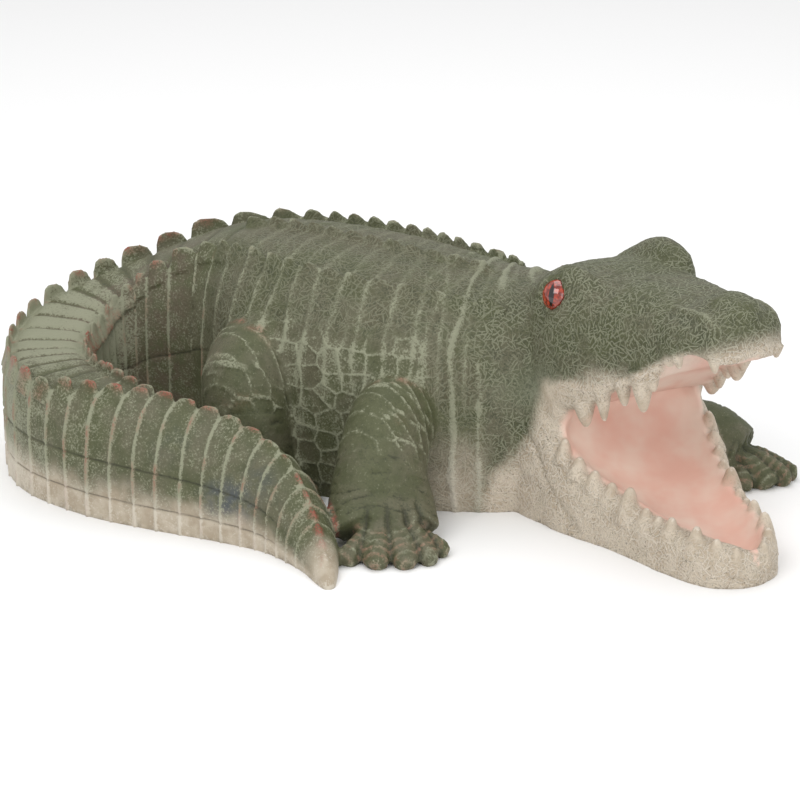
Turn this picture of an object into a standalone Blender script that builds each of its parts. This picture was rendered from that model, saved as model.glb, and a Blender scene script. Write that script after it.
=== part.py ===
"""Alligator garden statue, cast in one piece and lying flat on its belly.

The trunk runs back from the neck, the tail curls round the left side and comes
forward again, and the head turns to the viewer with its mouth wide open.
The pose is laid out in shares of the statue's width: one share is a 581st of it.
X is across the statue, Y runs away from the viewer, Z is up.
"""

import math

import bmesh
import bpy
import numpy as np

STATUE_WIDTH = 0.581  # across the curled body, from the tail's bend to the left fore foot

FORM_VOXEL = 3.0  # the large forms are fused at this size and then softened
SKIN_VOXEL = 2.2  # the scutes, teeth and lids are fused at this size
SOFTENING_PASSES = 4
FACETS = 9400  # triangles left on the finished solid
SUNK = 7.0  # how far the forms reach below the ground before they are cut flat
GROUND_REACH = 900.0
GROUND_DEPTH = 300.0

# The spine from inside the head to the tail's tip, one station a row:
# x, y, height of the back, half width, height of the widest point, share of the
# half width that stands on the ground, squareness of the shoulders, flatness of the back.
SPINE = np.array(
    [
        (148, 20, 146, 36, 60, 0.92, 2.4, 2.2),
        (122, 50, 151, 60, 60, 0.90, 2.6, 2.2),
        (68, 62, 155, 83, 62, 0.88, 2.9, 2.2),
        (4, 84, 164, 94, 64, 0.86, 3.2, 2.2),
        (-66, 125, 167, 84, 62, 0.88, 3.3, 2.4),
        (-115, 156, 161, 61, 52, 0.92, 3.8, 2.8),
        (-160, 170, 143, 47, 46, 0.94, 4.6, 3.4),
        (-205, 171, 120, 38, 42, 0.94, 5.5, 4.0),
        (-243, 148, 104, 34, 36, 0.92, 6.0, 4.0),
        (-259, 100, 91, 32, 34, 0.90, 6.0, 4.0),
        (-247, 50, 90, 32, 32, 0.92, 5.5, 4.0),
        (-207, 8, 89, 31, 26, 0.96, 3.0, 2.6),
        (-160, -18, 84, 31, 22, 0.98, 2.0, 2.0),
        (-114, -40, 76, 30, 18, 0.98, 1.8, 2.0),
        (-78, -68, 60, 24, 14, 0.98, 1.8, 2.0),
        (-57, -106, 31, 15, 9, 0.98, 1.8, 2.0),
        (-49, -138, 12, 7, 5, 0.98, 1.9, 2.0),
        (-47, -149, 4, 3, 2, 0.98, 2.0, 2.0),
    ],
    dtype=float,
)
SPINE_STEPS = 400
BODY_SIDES = 48
HEAD_RINGS = 48
HEAD_SIDES = 40
LIMB_GRID = (20, 24)  # sides and rings of a limb
TOE_GRID = (12, 12)
BALL_GRID = (24, 18)  # sides and rings of a ball
TOOTH_SIDES = 8

# Length of one band of the hide, from one notch between scutes to the next, along the spine.
BAND_PITCH = np.array(
    [(0, 16), (0.30, 16.7), (0.36, 22), (0.40, 31), (0.435, 22), (0.47, 17), (0.50, 15), (0.60, 16.5),
     (0.70, 16.8), (0.80, 18), (0.86, 18), (0.90, 13.5), (1, 9)]
)
BAND_START = 0.360  # a notch falls here

# Rows of scutes along the spine: first and last place, place across at each end
# (shares of the half width) and height of the tablets at each end.
SCUTE_ROWS = (
    (0.10, 0.345, 0.00, 0.00, 6.0, 8.0),
    (0.085, 0.36, 0.60, 0.66, 9.0, 13.0),
    (0.085, 0.36, -0.60, -0.66, 7.0, 10.0),
    (0.36, 0.52, 0.66, 0.90, 15.0, 17.0),
    (0.36, 0.52, -0.66, -0.90, 13.0, 14.0),
    (0.52, 0.66, 0.90, 0.86, 17.0, 14.0),
    (0.52, 0.66, -0.90, -0.86, 14.0, 13.0),
    (0.66, 0.745, 0.86, 0.10, 12.0, 8.0),
    (0.66, 0.745, -0.86, -0.10, 12.0, 8.0),
    (0.745, 0.985, 0.0, 0.0, 9.0, 3.0),
)
SCUTE_THICKNESS = 5.6
# A tablet's section: place across in half thicknesses, and height as a share of its own, or below 0 in millimetres.
SCUTE_OUTLINE = ((-2.8, -6.0), (2.8, -6.0), (2.0, -0.5), (0.9, 0.45), (0.5, 0.93), (0.0, 1.0), (-0.5, 0.93), (-0.9, 0.45), (-2.0, -0.5))
# How a tablet rises from its head side to its tail side: place along, height, thickness.
BACK_TABLET = ((0.0, 0.3, 0.9), (0.25, 0.62, 1.05), (0.5, 0.9, 1.1), (0.75, 1.0, 1.1), (0.92, 0.8, 1.0), (1.0, 0.35, 0.9))
TAIL_TABLET = ((0.0, 0.3, 0.6), (0.15, 0.68, 0.8), (0.4, 0.93, 0.9), (0.75, 1.04, 0.9), (0.93, 0.97, 0.8), (1.0, 0.6, 0.6))

# The head's frame stands on the ground between the eyes. A place in it is given as
# forward along the snout, across to the animal's left, and height.
HEAD_PLACE = (153.0, 11.0)
HEAD_HEADING = -60.0
JAW_HEADING = -62.0
MOUTH_HEADING = -61.0

# Skull and upper jaw: forward, half width at the lips, height of the top, height of the lips.
UPPER_JAW = np.array(
    [
        (-80, 48, 146, 60),
        (-50, 58, 164, 60),
        (-20, 63, 175, 64),
        (5, 64, 179, 78),
        (22, 62, 179, 81),
        (35, 59, 179, 84),
        (49, 55, 180, 93),
        (66, 49, 181, 108),
        (83, 44, 182, 116),
        (99, 41, 182, 124),
        (106, 40, 182, 137),
        (119, 39, 183, 146),
        (134, 36, 184, 152),
        (146, 31, 182, 150),
        (152, 22, 178, 149),
        (155, 10, 172, 153),
    ],
    dtype=float,
)
PALATE_ARCH = 7.0
ARCH_FADE = 20.0  # how far before the snout's tip the palate's arch starts to fade
# Sections of the head's parts: squareness, roundness, and how far up they are widest.
UPPER_SECTION = (3.2, 3.0, 0.12)
THROAT_SECTION = (2.6, 2.4, 0.52)
LOWER_SECTION = (4.5, 5.5, 0.25)
MOUTH_SECTION = (2.6, 2.2, 0.45)

# Throat and cheeks, from the ground to the corners of the mouth.
THROAT = np.array(
    [
        (-80, 56, 140, -60),
        (-50, 70, 145, -60),
        (-20, 75, 140, -60),
        (2, 73, 125, -60),
        (16, 69, 112, -60),
        (27, 63, 104, -60),
    ],
    dtype=float,
)

# Lower jaw: forward, half width, height of the rim, underside.
LOWER_JAW = np.array(
    [
        (-10, 69, 88, 0),
        (12, 70, 83, 0),
        (20, 70, 75, 0),
        (26, 69, 66, 0),
        (37, 66, 58, 0),
        (51, 61, 51, 0),
        (70, 54, 45, 0),
        (85, 50, 39, 0),
        (100, 47, 35, 0),
        (125, 42, 33, 0),
        (150, 35, 31, 0),
        (164, 27, 28, 0),
        (172, 15, 23, 0),
        (175.5, 5, 14, 0),
    ],
    dtype=float,
)

# The hollow of the mouth: forward, half width, ceiling, floor.
MOUTH = np.array(
    [
        (6, 18, 88, 73),
        (12, 42, 93, 64),
        (20, 54, 97, 53),
        (32, 57, 100, 43),
        (48, 54, 102, 34),
        (70, 47, 104, 27),
        (100, 40, 110, 21),
        (125, 33, 110, 17),
        (150, 24, 110, 15),
        (163, 13, 110, 16),
        (169, 3, 110, 18),
    ],
    dtype=float,
)
MOUTH_CORNER = (12.0, 55.0, 83.0)
MOUTH_CORNER_RADII = (11.0, 9.0, 11.0)

# Limbs as chains of stations: x, y, z, radius across, radius up. Then the toes' tips.
RIGHT_ARM = ((6, 6, 74, 29, 31), (-7, -20, 66, 30, 33), (-13, -43, 46, 32, 29), (-13, -61, 27, 37, 23), (-10, -80, 14, 38, 17))
RIGHT_FINGERS = ((-39, -110), (-17, -118), (6, -117), (24, -109), (33, -93))
RIGHT_LEG = ((-78, 90, 82, 42, 46), (-102, 58, 78, 38, 44), (-108, 38, 56, 33, 36), (-98, 22, 26, 26, 22), (-84, 10, 12, 22, 13))
RIGHT_TOES = ((-88, -16), (-74, -15), (-62, -8), (-58, 4))
LEFT_ARM = ((92, 100, 72, 36, 40), (138, 112, 38, 28, 30), (184, 92, 24, 25, 25), (222, 66, 27, 27, 27), (248, 54, 18, 28, 20))
LEFT_FINGERS = ((248, 24), (268, 30), (283, 38), (290, 51), (283, 66))
LEFT_LEG = ((-34, 158, 82, 42, 46), (-20, 196, 72, 36, 44), (-2, 208, 52, 31, 36), (22, 208, 26, 25, 22), (38, 204, 12, 22, 13))
LEFT_TOES = ((68, 188), (76, 200), (74, 214), (62, 226))
LIMBS = (
    (RIGHT_ARM, RIGHT_FINGERS),
    (RIGHT_LEG, RIGHT_TOES),
    (LEFT_ARM, LEFT_FINGERS),
    (LEFT_LEG, LEFT_TOES),
)
TOE_RADIUS = 9.0
# A toe from the foot's middle to its tip: place along, width, height, height of its middle.
TOE_SHAPE = ((0.0, 1.0, 1.2, 16), (0.35, 1.1, 1.3, 11), (0.65, 1.05, 1.1, 7), (0.87, 0.9, 0.85, 4.5), (0.97, 0.6, 0.6, 3.5), (1.0, 0.25, 0.3, 3))

# Teeth of one side: how far forward, height of the tip, radius at the gum.
UPPER_TEETH = ((40, 79, 4.6), (55, 87, 3.4), (71, 102, 3.8), (87, 102, 5.2), (96, 119, 3.2), (112, 141, 3.0), (120, 142, 3.0), (147, 145, 2.8))
LOWER_TEETH = ((29, 67, 4.0), (42, 57, 4.6), (55, 51, 4.2), (69, 46, 4.0), (85, 47, 5.4), (101, 37, 4.2), (113, 35, 3.4),
               (125, 38, 4.6), (146, 38, 4.8), (160, 33, 4.2), (169, 28, 3.6))
UPPER_ROOT_INSET = 4.0  # how far inside the lips the upper teeth stand, and how deep above them they start
TOOTH_LEAN = 1.0  # how much farther in their tips are
LOWER_ROOT_INSET = 8.0
LOWER_ROOT_DEPTH = 9.0
FAR_TEETH = 0.45  # how far the upper teeth of the animal's left reach, as a share of the right ones
# A tooth from below its root to its tip: place along, share of its radius.
TOOTH_SHAPE = ((-0.5, 1.8), (0.0, 1.5), (0.35, 1.2), (0.65, 0.9), (0.88, 0.6), (1.0, 0.3))

# Ridges over the eyes, from the neck to the snout: forward, across, height, radius across, radius up.
BROW = (
    (-54, 32, 139, 17, 15), (-36, 34, 151, 17, 19), (-16, 36, 161, 16, 22), (-2, 37, 167, 15, 23), (8, 37, 168, 14, 22),
    (14, 37, 164, 13, 20), (19, 36, 156, 12, 15), (32, 33, 150, 10, 12),
)
BROW_SUNK = 9.0  # how much lower the ridge of the animal's right lies
EYE = (-5.0, 47.0, 160.0)
EYE_RADIUS = 11.2
EYE_SOCKET = 12.0
EYE_GAZE = (0.64, 0.70, 0.28)  # forward, outward, up
LID_RADIUS = 11.8
LID_THICKNESS = 2.8
LID_REACH = 4.0  # how far along the gaze the lids' ring lies
NOSTRIL_MOUND = (131.0, 0.0, 180.0)
NOSTRIL_MOUND_RADII = (24.0, 19.0, 11.5)

RESIN_COLOUR = (0.16, 0.17, 0.11, 1.0)
RESIN_ROUGHNESS = 0.7


def smooth_rows(rows, count):
    """Rows of numbers read as one smooth curve: Catmull-Rom between each row and the next."""
    rows = np.array(rows, dtype=float)
    padded = np.vstack([2 * rows[0] - rows[1], rows, 2 * rows[-1] - rows[-2]])
    place = np.linspace(0, len(rows) - 1, count)
    index = np.minimum(place.astype(int), len(rows) - 2)
    t = (place - index)[:, None]
    before, start, end, after = (padded[index + step] for step in range(4))
    return 0.5 * (
        2 * start
        + (end - before) * t
        + (2 * before - 5 * start + 4 * end - after) * t**2
        + (3 * start - before - 3 * end + after) * t**3
    )


def signed_power(value, power):
    return np.sign(value) * np.abs(value) ** power


def new_object(name, mesh):
    return bpy.data.objects.new(name, mesh)


def skin(name, rings):
    """A closed skin over rings of points (ring, point, xyz), with a pole at each end."""
    count, around = rings.shape[:2]
    points = np.vstack([rings.reshape(-1, 3), rings[0].mean(axis=0), rings[-1].mean(axis=0)])
    ring, step = np.meshgrid(np.arange(count - 1), np.arange(around), indexing="ij")
    following = (step + 1) % around
    quads = np.stack(
        [ring * around + step, ring * around + following, (ring + 1) * around + following, (ring + 1) * around + step],
        axis=-1,
    ).reshape(-1, 4)
    edge = np.arange(around)
    last = (count - 1) * around
    start_fan = np.stack([np.full(around, count * around), (edge + 1) % around, edge], axis=-1)
    end_fan = np.stack([np.full(around, count * around + 1), last + edge, last + (edge + 1) % around], axis=-1)
    mesh = bpy.data.meshes.new(name)
    mesh.from_pydata(points.tolist(), [], quads.tolist() + start_fan.tolist() + end_fan.tolist())
    cleaner = bmesh.new()
    cleaner.from_mesh(mesh)
    bmesh.ops.recalc_face_normals(cleaner, faces=cleaner.faces)
    cleaner.to_mesh(mesh)
    cleaner.free()
    return new_object(name, mesh)


def section(half_width, top, bottom, widest, squareness, roundness, around):
    """Across and up of an egg-shaped section: a superellipse above and below its widest height."""
    angle = np.linspace(0, 2 * math.pi, around, endpoint=False)
    across = half_width[:, None] * signed_power(np.cos(angle), 2 / squareness[:, None])
    lift = signed_power(np.sin(angle), 2 / roundness)
    up = widest[:, None] + np.where(lift > 0, (top - widest)[:, None] * lift, (widest - bottom)[:, None] * lift)
    return across, up


def spine_frames():
    """Stations along the spine, evenly spaced, with the unit vector to the animal's left."""
    dense = smooth_rows(SPINE, 60 * len(SPINE))
    run = np.concatenate([[0], np.cumsum(np.linalg.norm(np.diff(dense[:, :2], axis=0), axis=1))])
    place = np.linspace(0, 1, SPINE_STEPS)
    rows = np.stack([np.interp(place, run / run[-1], column) for column in dense.T], axis=-1)
    ahead = np.gradient(rows[:, :2], axis=0)
    ahead /= np.linalg.norm(ahead, axis=1)[:, None]
    left = np.stack([ahead[:, 1], -ahead[:, 0]], axis=-1)
    return rows, left, run[-1]


SPINE_ROWS, SPINE_LEFT, SPINE_LENGTH = spine_frames()
SPINE_PLACES = np.linspace(0, 1, SPINE_STEPS)


def band_counts():
    """How many bands lie between the notch at BAND_START and each station of the spine."""
    pitch = np.interp(SPINE_PLACES, BAND_PITCH[:, 0], BAND_PITCH[:, 1])
    density = SPINE_LENGTH / pitch
    count = np.concatenate([[0], np.cumsum(0.5 * (density[1:] + density[:-1]) * np.diff(SPINE_PLACES))])
    return count - np.interp(BAND_START, SPINE_PLACES, count)


BAND_COUNTS = band_counts()


def along_spine(place, columns):
    """Each column of a table of stations, read at places along the spine."""
    return np.stack([np.interp(place, SPINE_PLACES, column) for column in columns.T], axis=-1)


def body():
    """Trunk and tail: egg-shaped sections carried along the spine."""
    _, _, top, half_width, widest, ground, squareness, flatness = SPINE_ROWS.T
    below = widest - widest / np.sqrt(1 - ground**2)
    across, up = section(half_width, top, below, widest, squareness, flatness[:, None], BODY_SIDES)
    rings = np.concatenate(
        [SPINE_ROWS[:, None, :2] + SPINE_LEFT[:, None, :] * across[:, :, None], up[:, :, None]], axis=2
    )
    return skin("body", rings)


def back_point(place, share_across):
    """The point of the back at a place along the spine and a share of the half width across."""
    x, y, top, half_width, widest, _, squareness, flatness = along_spine(place, SPINE_ROWS)
    side = along_spine(place, SPINE_LEFT)
    share = min(abs(share_across), 1.0)
    height = widest + (top - widest) * (1 - share**squareness) ** (1 / flatness)
    return np.array([x + side[0] * half_width * share_across, y + side[1] * half_width * share_across, height])


def scutes():
    """Tablets in rows along the back, one in each band between two notches."""
    tablets = []
    for first, last, across_first, across_last, high_first, high_last in SCUTE_ROWS:
        on_tail = first >= BAND_START
        shape, reach = (TAIL_TABLET, (0.06, 0.93)) if on_tail else (BACK_TABLET, (-0.02, 1.02))
        bands = np.interp([first, last], SPINE_PLACES, BAND_COUNTS)
        for band in np.arange(math.ceil(bands[0]), math.floor(bands[1]) + 1):
            start, end = np.interp([band + reach[0], band + reach[1]], BAND_COUNTS, SPINE_PLACES)
            t = (start - first) / (last - first)
            across = across_first + (across_last - across_first) * t
            high = high_first + (high_last - high_first) * t
            tablets.append(tablet(back_point(start, across), back_point(end, across), high, shape))
    return tablets


def tablet(start, end, high, shape):
    """One scute: upright slices from start to end, broad at the foot and rounded at the crest."""
    run = end - start
    ahead = run / np.linalg.norm(run)
    side = np.cross(ahead, (0, 0, 1))
    side /= np.linalg.norm(side)
    rings = []
    for along, height, thick in shape:
        base = start + run * along
        half = 0.5 * SCUTE_THICKNESS * thick
        top = high * height
        outline = [(across, up if up < 0 else up * top) for across, up in SCUTE_OUTLINE]
        rings.append([base + side * half * across + np.array([0, 0, up]) for across, up in outline])
    return skin("scute", np.array(rings))


def to_layout(forward, across, up, heading=HEAD_HEADING):
    """A place in the head's frame as a point of the layout."""
    turn = math.radians(heading)
    x = HEAD_PLACE[0] + forward * math.cos(turn) - across * math.sin(turn)
    y = HEAD_PLACE[1] + forward * math.sin(turn) + across * math.cos(turn)
    return np.stack(np.broadcast_arrays(x, y, up), axis=-1)


def head_loft(name, stations, heading, shape, arch=0.0):
    """Sections set across the head's own axis. An arch lifts the middle of the underside."""
    squareness, roundness, widest_share = shape
    rows = smooth_rows(stations, HEAD_RINGS)
    forward, half_width, top, bottom = rows.T
    bottom = bottom - np.where(bottom < 1, SUNK, 0)
    widest = bottom + (top - bottom) * widest_share
    across, up = section(half_width, top, bottom, widest, np.full(HEAD_RINGS, squareness), roundness, HEAD_SIDES)
    lower = np.clip((widest[:, None] - up) / np.maximum(widest - bottom, 1e-6)[:, None], 0, 1)
    fade = np.clip((forward[-1] - forward[:, None]) / ARCH_FADE, 0, 1)
    up = up + arch * fade * lower * (1 - np.clip(np.abs(across) / half_width[:, None], 0, 1) ** 4)
    return skin(name, to_layout(forward[:, None], across, up, heading))


def tube(name, stations, grid):
    """A limb: upright egg-shaped rings along a smooth path, closed round at both ends."""
    around, along = grid
    rows = smooth_rows(stations, along)
    ahead = np.gradient(rows[:, :3], axis=0)
    ahead /= np.linalg.norm(ahead, axis=1)[:, None]
    side = np.cross(ahead, (0, 0, 1))
    side /= np.maximum(np.linalg.norm(side, axis=1), 1e-6)[:, None]
    rise = np.cross(side, ahead)
    angle = np.linspace(0, 2 * math.pi, around, endpoint=False)
    rings = (
        rows[:, None, :3]
        + side[:, None, :] * (rows[:, 3, None] * np.cos(angle))[:, :, None]
        + rise[:, None, :] * (rows[:, 4, None] * np.sin(angle))[:, :, None]
    )
    return skin(name, rings)


def ellipsoid(name, centre, radii, heading=HEAD_HEADING):
    """A ball stretched by three radii in the head's frame: rings of latitude from pole to pole."""
    sides, levels = BALL_GRID
    lift = np.linspace(-math.pi / 2, math.pi / 2, levels)[1:-1, None]
    turn = np.linspace(0, 2 * math.pi, sides, endpoint=False)
    forward = centre[0] + radii[0] * np.cos(lift) * np.cos(turn)
    across = centre[1] + radii[1] * np.cos(lift) * np.sin(turn)
    up = centre[2] + radii[2] * np.sin(lift) * np.ones_like(turn)
    return skin(name, to_layout(forward, across, up, heading))


def toe_path(stations, tip):
    """The stations of one toe from the foot's middle to its tip."""
    foot = np.array(stations[-1][:2], dtype=float)
    reach = np.array(tip, dtype=float) - foot
    return [
        (*(foot + reach * along), up, TOE_RADIUS * wide, TOE_RADIUS * high)
        for along, wide, high, up in TOE_SHAPE
    ]


def limb(stations, toes):
    """A leg with its toes: each toe swells out of the foot and tapers to a blunt claw."""
    return [tube("limb", stations, LIMB_GRID)] + [tube("toe", toe_path(stations, tip), TOE_GRID) for tip in toes]


def tooth(root, tip, radius):
    """A blunt cone from root to tip."""
    run = tip - root
    side = np.cross(run / np.linalg.norm(run), (0.3, 0.9, 0.1))
    side /= np.linalg.norm(side)
    other = np.cross(run / np.linalg.norm(run), side)
    angle = np.linspace(0, 2 * math.pi, TOOTH_SIDES, endpoint=False)
    circle = np.outer(np.cos(angle), side) + np.outer(np.sin(angle), other)
    return skin("tooth", np.array([root + run * along + radius * wide * circle for along, wide in TOOTH_SHAPE]))


def tooth_places():
    """Root and tip of every tooth, with its radius."""
    found = []
    for side in (-1, 1):
        for forward, tip_height, radius in UPPER_TEETH:
            half, lip = (np.interp(forward, UPPER_JAW[:, 0], UPPER_JAW[:, column]) for column in (1, 3))
            root = to_layout(forward, side * (half - UPPER_ROOT_INSET), lip + UPPER_ROOT_INSET)
            reach = 1.0 if side < 0 else FAR_TEETH
            tip = to_layout(
                forward + TOOTH_LEAN, side * (half - UPPER_ROOT_INSET - TOOTH_LEAN), lip + (tip_height - lip) * reach
            )
            found.append((root, tip, radius))
        for forward, tip_height, radius in LOWER_TEETH:
            half, rim = (np.interp(forward, LOWER_JAW[:, 0], LOWER_JAW[:, column]) for column in (1, 2))
            root = to_layout(forward, side * (half - LOWER_ROOT_INSET), rim - LOWER_ROOT_DEPTH, JAW_HEADING)
            tip = to_layout(forward, side * (half - LOWER_ROOT_INSET - TOOTH_LEAN), tip_height, JAW_HEADING)
            found.append((root, tip, radius))
    return found


def eye_axes(side):
    """Middle of one eye, and its gaze, level and rise as unit vectors."""
    centre = to_layout(EYE[0], side * EYE[1], EYE[2])
    gaze = to_layout(EYE_GAZE[0], side * EYE_GAZE[1], EYE_GAZE[2]) - to_layout(0, 0, 0)
    gaze /= np.linalg.norm(gaze)
    level = np.cross(gaze, (0, 0, 1))
    level /= np.linalg.norm(level)
    return centre, gaze, level, np.cross(level, gaze)


def lids(side):
    """The ring of lids round one eye: a torus across the gaze, thicker above."""
    centre, gaze, level, rise = eye_axes(side)
    turn = np.linspace(0, 2 * math.pi, 48, endpoint=False)[:, None, None]
    around = np.linspace(0, 2 * math.pi, 16, endpoint=False)[None, :, None]
    out = level * np.cos(turn) + rise * np.sin(turn)
    thick = LID_THICKNESS * (1 + 0.25 * np.sin(turn))
    rings = centre + gaze * (LID_REACH - 2.0 * np.sin(turn) ** 2) + out * (LID_RADIUS + thick * np.cos(around))
    rings = rings + gaze * thick * np.sin(around)
    return closed_band("lids", rings)


def closed_band(name, rings):
    """A skin over rings whose last one joins the first."""
    count, across = rings.shape[:2]
    ring, step = np.meshgrid(np.arange(count), np.arange(across), indexing="ij")
    later, following = (ring + 1) % count, (step + 1) % across
    quads = np.stack(
        [ring * across + step, ring * across + following, later * across + following, later * across + step], axis=-1
    ).reshape(-1, 4)
    mesh = bpy.data.meshes.new(name)
    mesh.from_pydata(rings.reshape(-1, 3).tolist(), [], quads.tolist())
    cleaner = bmesh.new()
    cleaner.from_mesh(mesh)
    bmesh.ops.recalc_face_normals(cleaner, faces=cleaner.faces)
    cleaner.to_mesh(mesh)
    cleaner.free()
    return new_object(name, mesh)


def brow(side):
    """The ridge over one eye, as a tube in the head's frame."""
    stations = [
        (*to_layout(forward, side * across, up - (BROW_SUNK if side < 0 else 0)), wide, high)
        for forward, across, up, wide, high in BROW
    ]
    return tube("brow", stations, LIMB_GRID)


def joined(name, pieces):
    """Several closed meshes as one object, still overlapping."""
    union = bmesh.new()
    for piece in pieces:
        union.from_mesh(piece.data)
        mesh = piece.data
        bpy.data.objects.remove(piece)
        bpy.data.meshes.remove(mesh)
    mesh = bpy.data.meshes.new(name)
    union.to_mesh(mesh)
    union.free()
    return new_object(name, mesh)


def evaluated(obj):
    """The object with its modifiers applied."""
    bpy.context.scene.collection.objects.link(obj)
    graph = bpy.context.evaluated_depsgraph_get()
    mesh = bpy.data.meshes.new_from_object(obj.evaluated_get(graph))
    name = obj.name
    bpy.data.objects.remove(obj)
    return new_object(name, mesh)


def fused(name, pieces, voxel, passes, cutters=()):
    """One skin over overlapping pieces, softened, with the cutters taken away."""
    obj = joined(name, pieces)
    remesh = obj.modifiers.new("fuse", "REMESH")
    remesh.mode = "VOXEL"
    remesh.voxel_size = voxel
    if passes:
        soften = obj.modifiers.new("soften", "SMOOTH")
        soften.factor = 0.5
        soften.iterations = passes
    for cutter in cutters:
        cut = obj.modifiers.new("cut", "BOOLEAN")
        cut.operation = "DIFFERENCE"
        cut.object = cutter
    return evaluated(obj)


def ground_block():
    """What lies below the ground, as a cutter."""
    block = bmesh.new()
    bmesh.ops.create_cube(block, size=1.0)
    for vertex in block.verts:
        vertex.co = (vertex.co.x * GROUND_REACH, vertex.co.y * GROUND_REACH, (vertex.co.z - 0.5) * GROUND_DEPTH)
    mesh = bpy.data.meshes.new("ground")
    block.to_mesh(mesh)
    block.free()
    return new_object("ground", mesh)


def casting():
    """The fused casting before its relief, in the layout."""
    scene = bpy.context.scene.collection
    mouth = head_loft("mouth", MOUTH, MOUTH_HEADING, MOUTH_SECTION)
    sockets = [ellipsoid("socket", (EYE[0], side * EYE[1], EYE[2]), (EYE_SOCKET,) * 3) for side in (-1, 1)]
    cutters = [mouth, *sockets]
    for cutter in cutters:
        scene.objects.link(cutter)
    bpy.context.view_layer.update()
    jaws = fused(
        "jaws",
        [
            head_loft("throat", THROAT, HEAD_HEADING, THROAT_SECTION),
            head_loft("lower_jaw", LOWER_JAW, JAW_HEADING, LOWER_SECTION),
        ],
        FORM_VOXEL,
        SOFTENING_PASSES,
        [mouth],
    )
    forms = [
        body(),
        jaws,
        head_loft("upper_jaw", UPPER_JAW, HEAD_HEADING, UPPER_SECTION, PALATE_ARCH),
        ellipsoid("nostril_mound", NOSTRIL_MOUND, NOSTRIL_MOUND_RADII),
    ]
    for side in (-1, 1):
        forms.append(brow(side))
        forms.append(ellipsoid("corner", (MOUTH_CORNER[0], side * MOUTH_CORNER[1], MOUTH_CORNER[2]), MOUTH_CORNER_RADII))
    for stations, toes in LIMBS:
        forms += limb(stations, toes)
    main = fused("alligator", forms, FORM_VOXEL, SOFTENING_PASSES, sockets)
    for cutter in cutters:
        bpy.data.objects.remove(cutter)
    teeth = [tooth(*place) for place in tooth_places()]
    eyes = [ellipsoid("eye", (EYE[0], side * EYE[1], EYE[2]), (EYE_RADIUS,) * 3) for side in (-1, 1)]
    return fused("alligator", [main, *scutes(), *teeth, *eyes, lids(-1), lids(1)], SKIN_VOXEL, 1)


def cut_flat(obj):
    """The object cut off flat at the ground."""
    ground = ground_block()
    bpy.context.scene.collection.objects.link(ground)
    cut = obj.modifiers.new("flat_base", "BOOLEAN")
    cut.operation = "DIFFERENCE"
    cut.object = ground
    whole = evaluated(obj)
    bpy.data.objects.remove(ground)
    return whole


def thinned(obj, triangles):
    """The same form on fewer triangles."""
    faces = sum(len(polygon.vertices) - 2 for polygon in obj.data.polygons)
    thin = obj.modifiers.new("facets", "DECIMATE")
    thin.ratio = triangles / faces
    return evaluated(obj)


def resin():
    material = bpy.data.materials.new("painted_resin")
    material.use_nodes = True
    shader = material.node_tree.nodes["Principled BSDF"]
    shader.inputs["Base Color"].default_value = RESIN_COLOUR
    shader.inputs["Roughness"].default_value = RESIN_ROUGHNESS
    shader.inputs["Metallic"].default_value = 0.0
    return material


def centred(obj):
    """Scales shares to metres and puts the origin in the middle of the underside's box."""
    points = np.empty(len(obj.data.vertices) * 3)
    obj.data.vertices.foreach_get("co", points)
    points = points.reshape(-1, 3)
    low, high = points.min(axis=0), points.max(axis=0)
    middle = np.array([(low[0] + high[0]) / 2, (low[1] + high[1]) / 2, 0.0])
    share = STATUE_WIDTH / (high[0] - low[0])
    obj.data.vertices.foreach_set("co", ((points - middle) * share).ravel())
    obj.data.update()


def main():
    for obj in list(bpy.data.objects):
        bpy.data.objects.remove(obj, do_unlink=True)
    whole = cut_flat(thinned(casting(), FACETS))
    centred(whole)
    whole.name = "alligator"
    whole.data.name = "alligator"
    whole.data.materials.clear()
    whole.data.materials.append(resin())
    whole.data.shade_smooth()
    parts = bpy.data.collections.new("alligator_garden_statue")
    bpy.context.scene.collection.children.link(parts)
    parts.objects.link(whole)


main()
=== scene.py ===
"""Alligator garden statue: one resin casting in full relief with its paint, and two lacquered eyes.

The pose is laid out in millimetres, X across the statue, Y away from the viewer, Z up.
The casting is built there from lofted forms, fused into one skin, carved by formulas that
follow the spine, the head and the limbs, and only then moved into the frame, in metres.
"""

import math

import bmesh
import bpy
import numpy as np
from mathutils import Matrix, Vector


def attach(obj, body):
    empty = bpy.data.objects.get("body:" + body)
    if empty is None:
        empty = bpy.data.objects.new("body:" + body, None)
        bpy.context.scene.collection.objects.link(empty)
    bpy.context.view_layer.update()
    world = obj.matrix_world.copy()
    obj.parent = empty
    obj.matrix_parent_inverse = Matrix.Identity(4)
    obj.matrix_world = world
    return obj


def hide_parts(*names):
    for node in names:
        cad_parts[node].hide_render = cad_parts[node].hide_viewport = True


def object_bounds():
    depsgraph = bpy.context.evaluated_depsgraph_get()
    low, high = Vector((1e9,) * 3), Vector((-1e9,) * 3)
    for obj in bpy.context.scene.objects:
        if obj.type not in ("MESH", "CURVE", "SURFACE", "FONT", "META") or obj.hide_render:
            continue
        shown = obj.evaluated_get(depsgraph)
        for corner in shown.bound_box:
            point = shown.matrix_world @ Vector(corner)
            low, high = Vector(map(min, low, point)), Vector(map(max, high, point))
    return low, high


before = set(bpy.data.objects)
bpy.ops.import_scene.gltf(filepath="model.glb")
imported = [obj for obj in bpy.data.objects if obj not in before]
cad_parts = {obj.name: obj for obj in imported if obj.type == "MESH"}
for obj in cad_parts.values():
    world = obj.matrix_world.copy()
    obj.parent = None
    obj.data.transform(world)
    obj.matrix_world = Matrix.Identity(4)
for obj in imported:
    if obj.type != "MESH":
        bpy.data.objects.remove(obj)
CAD_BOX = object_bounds()

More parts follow.
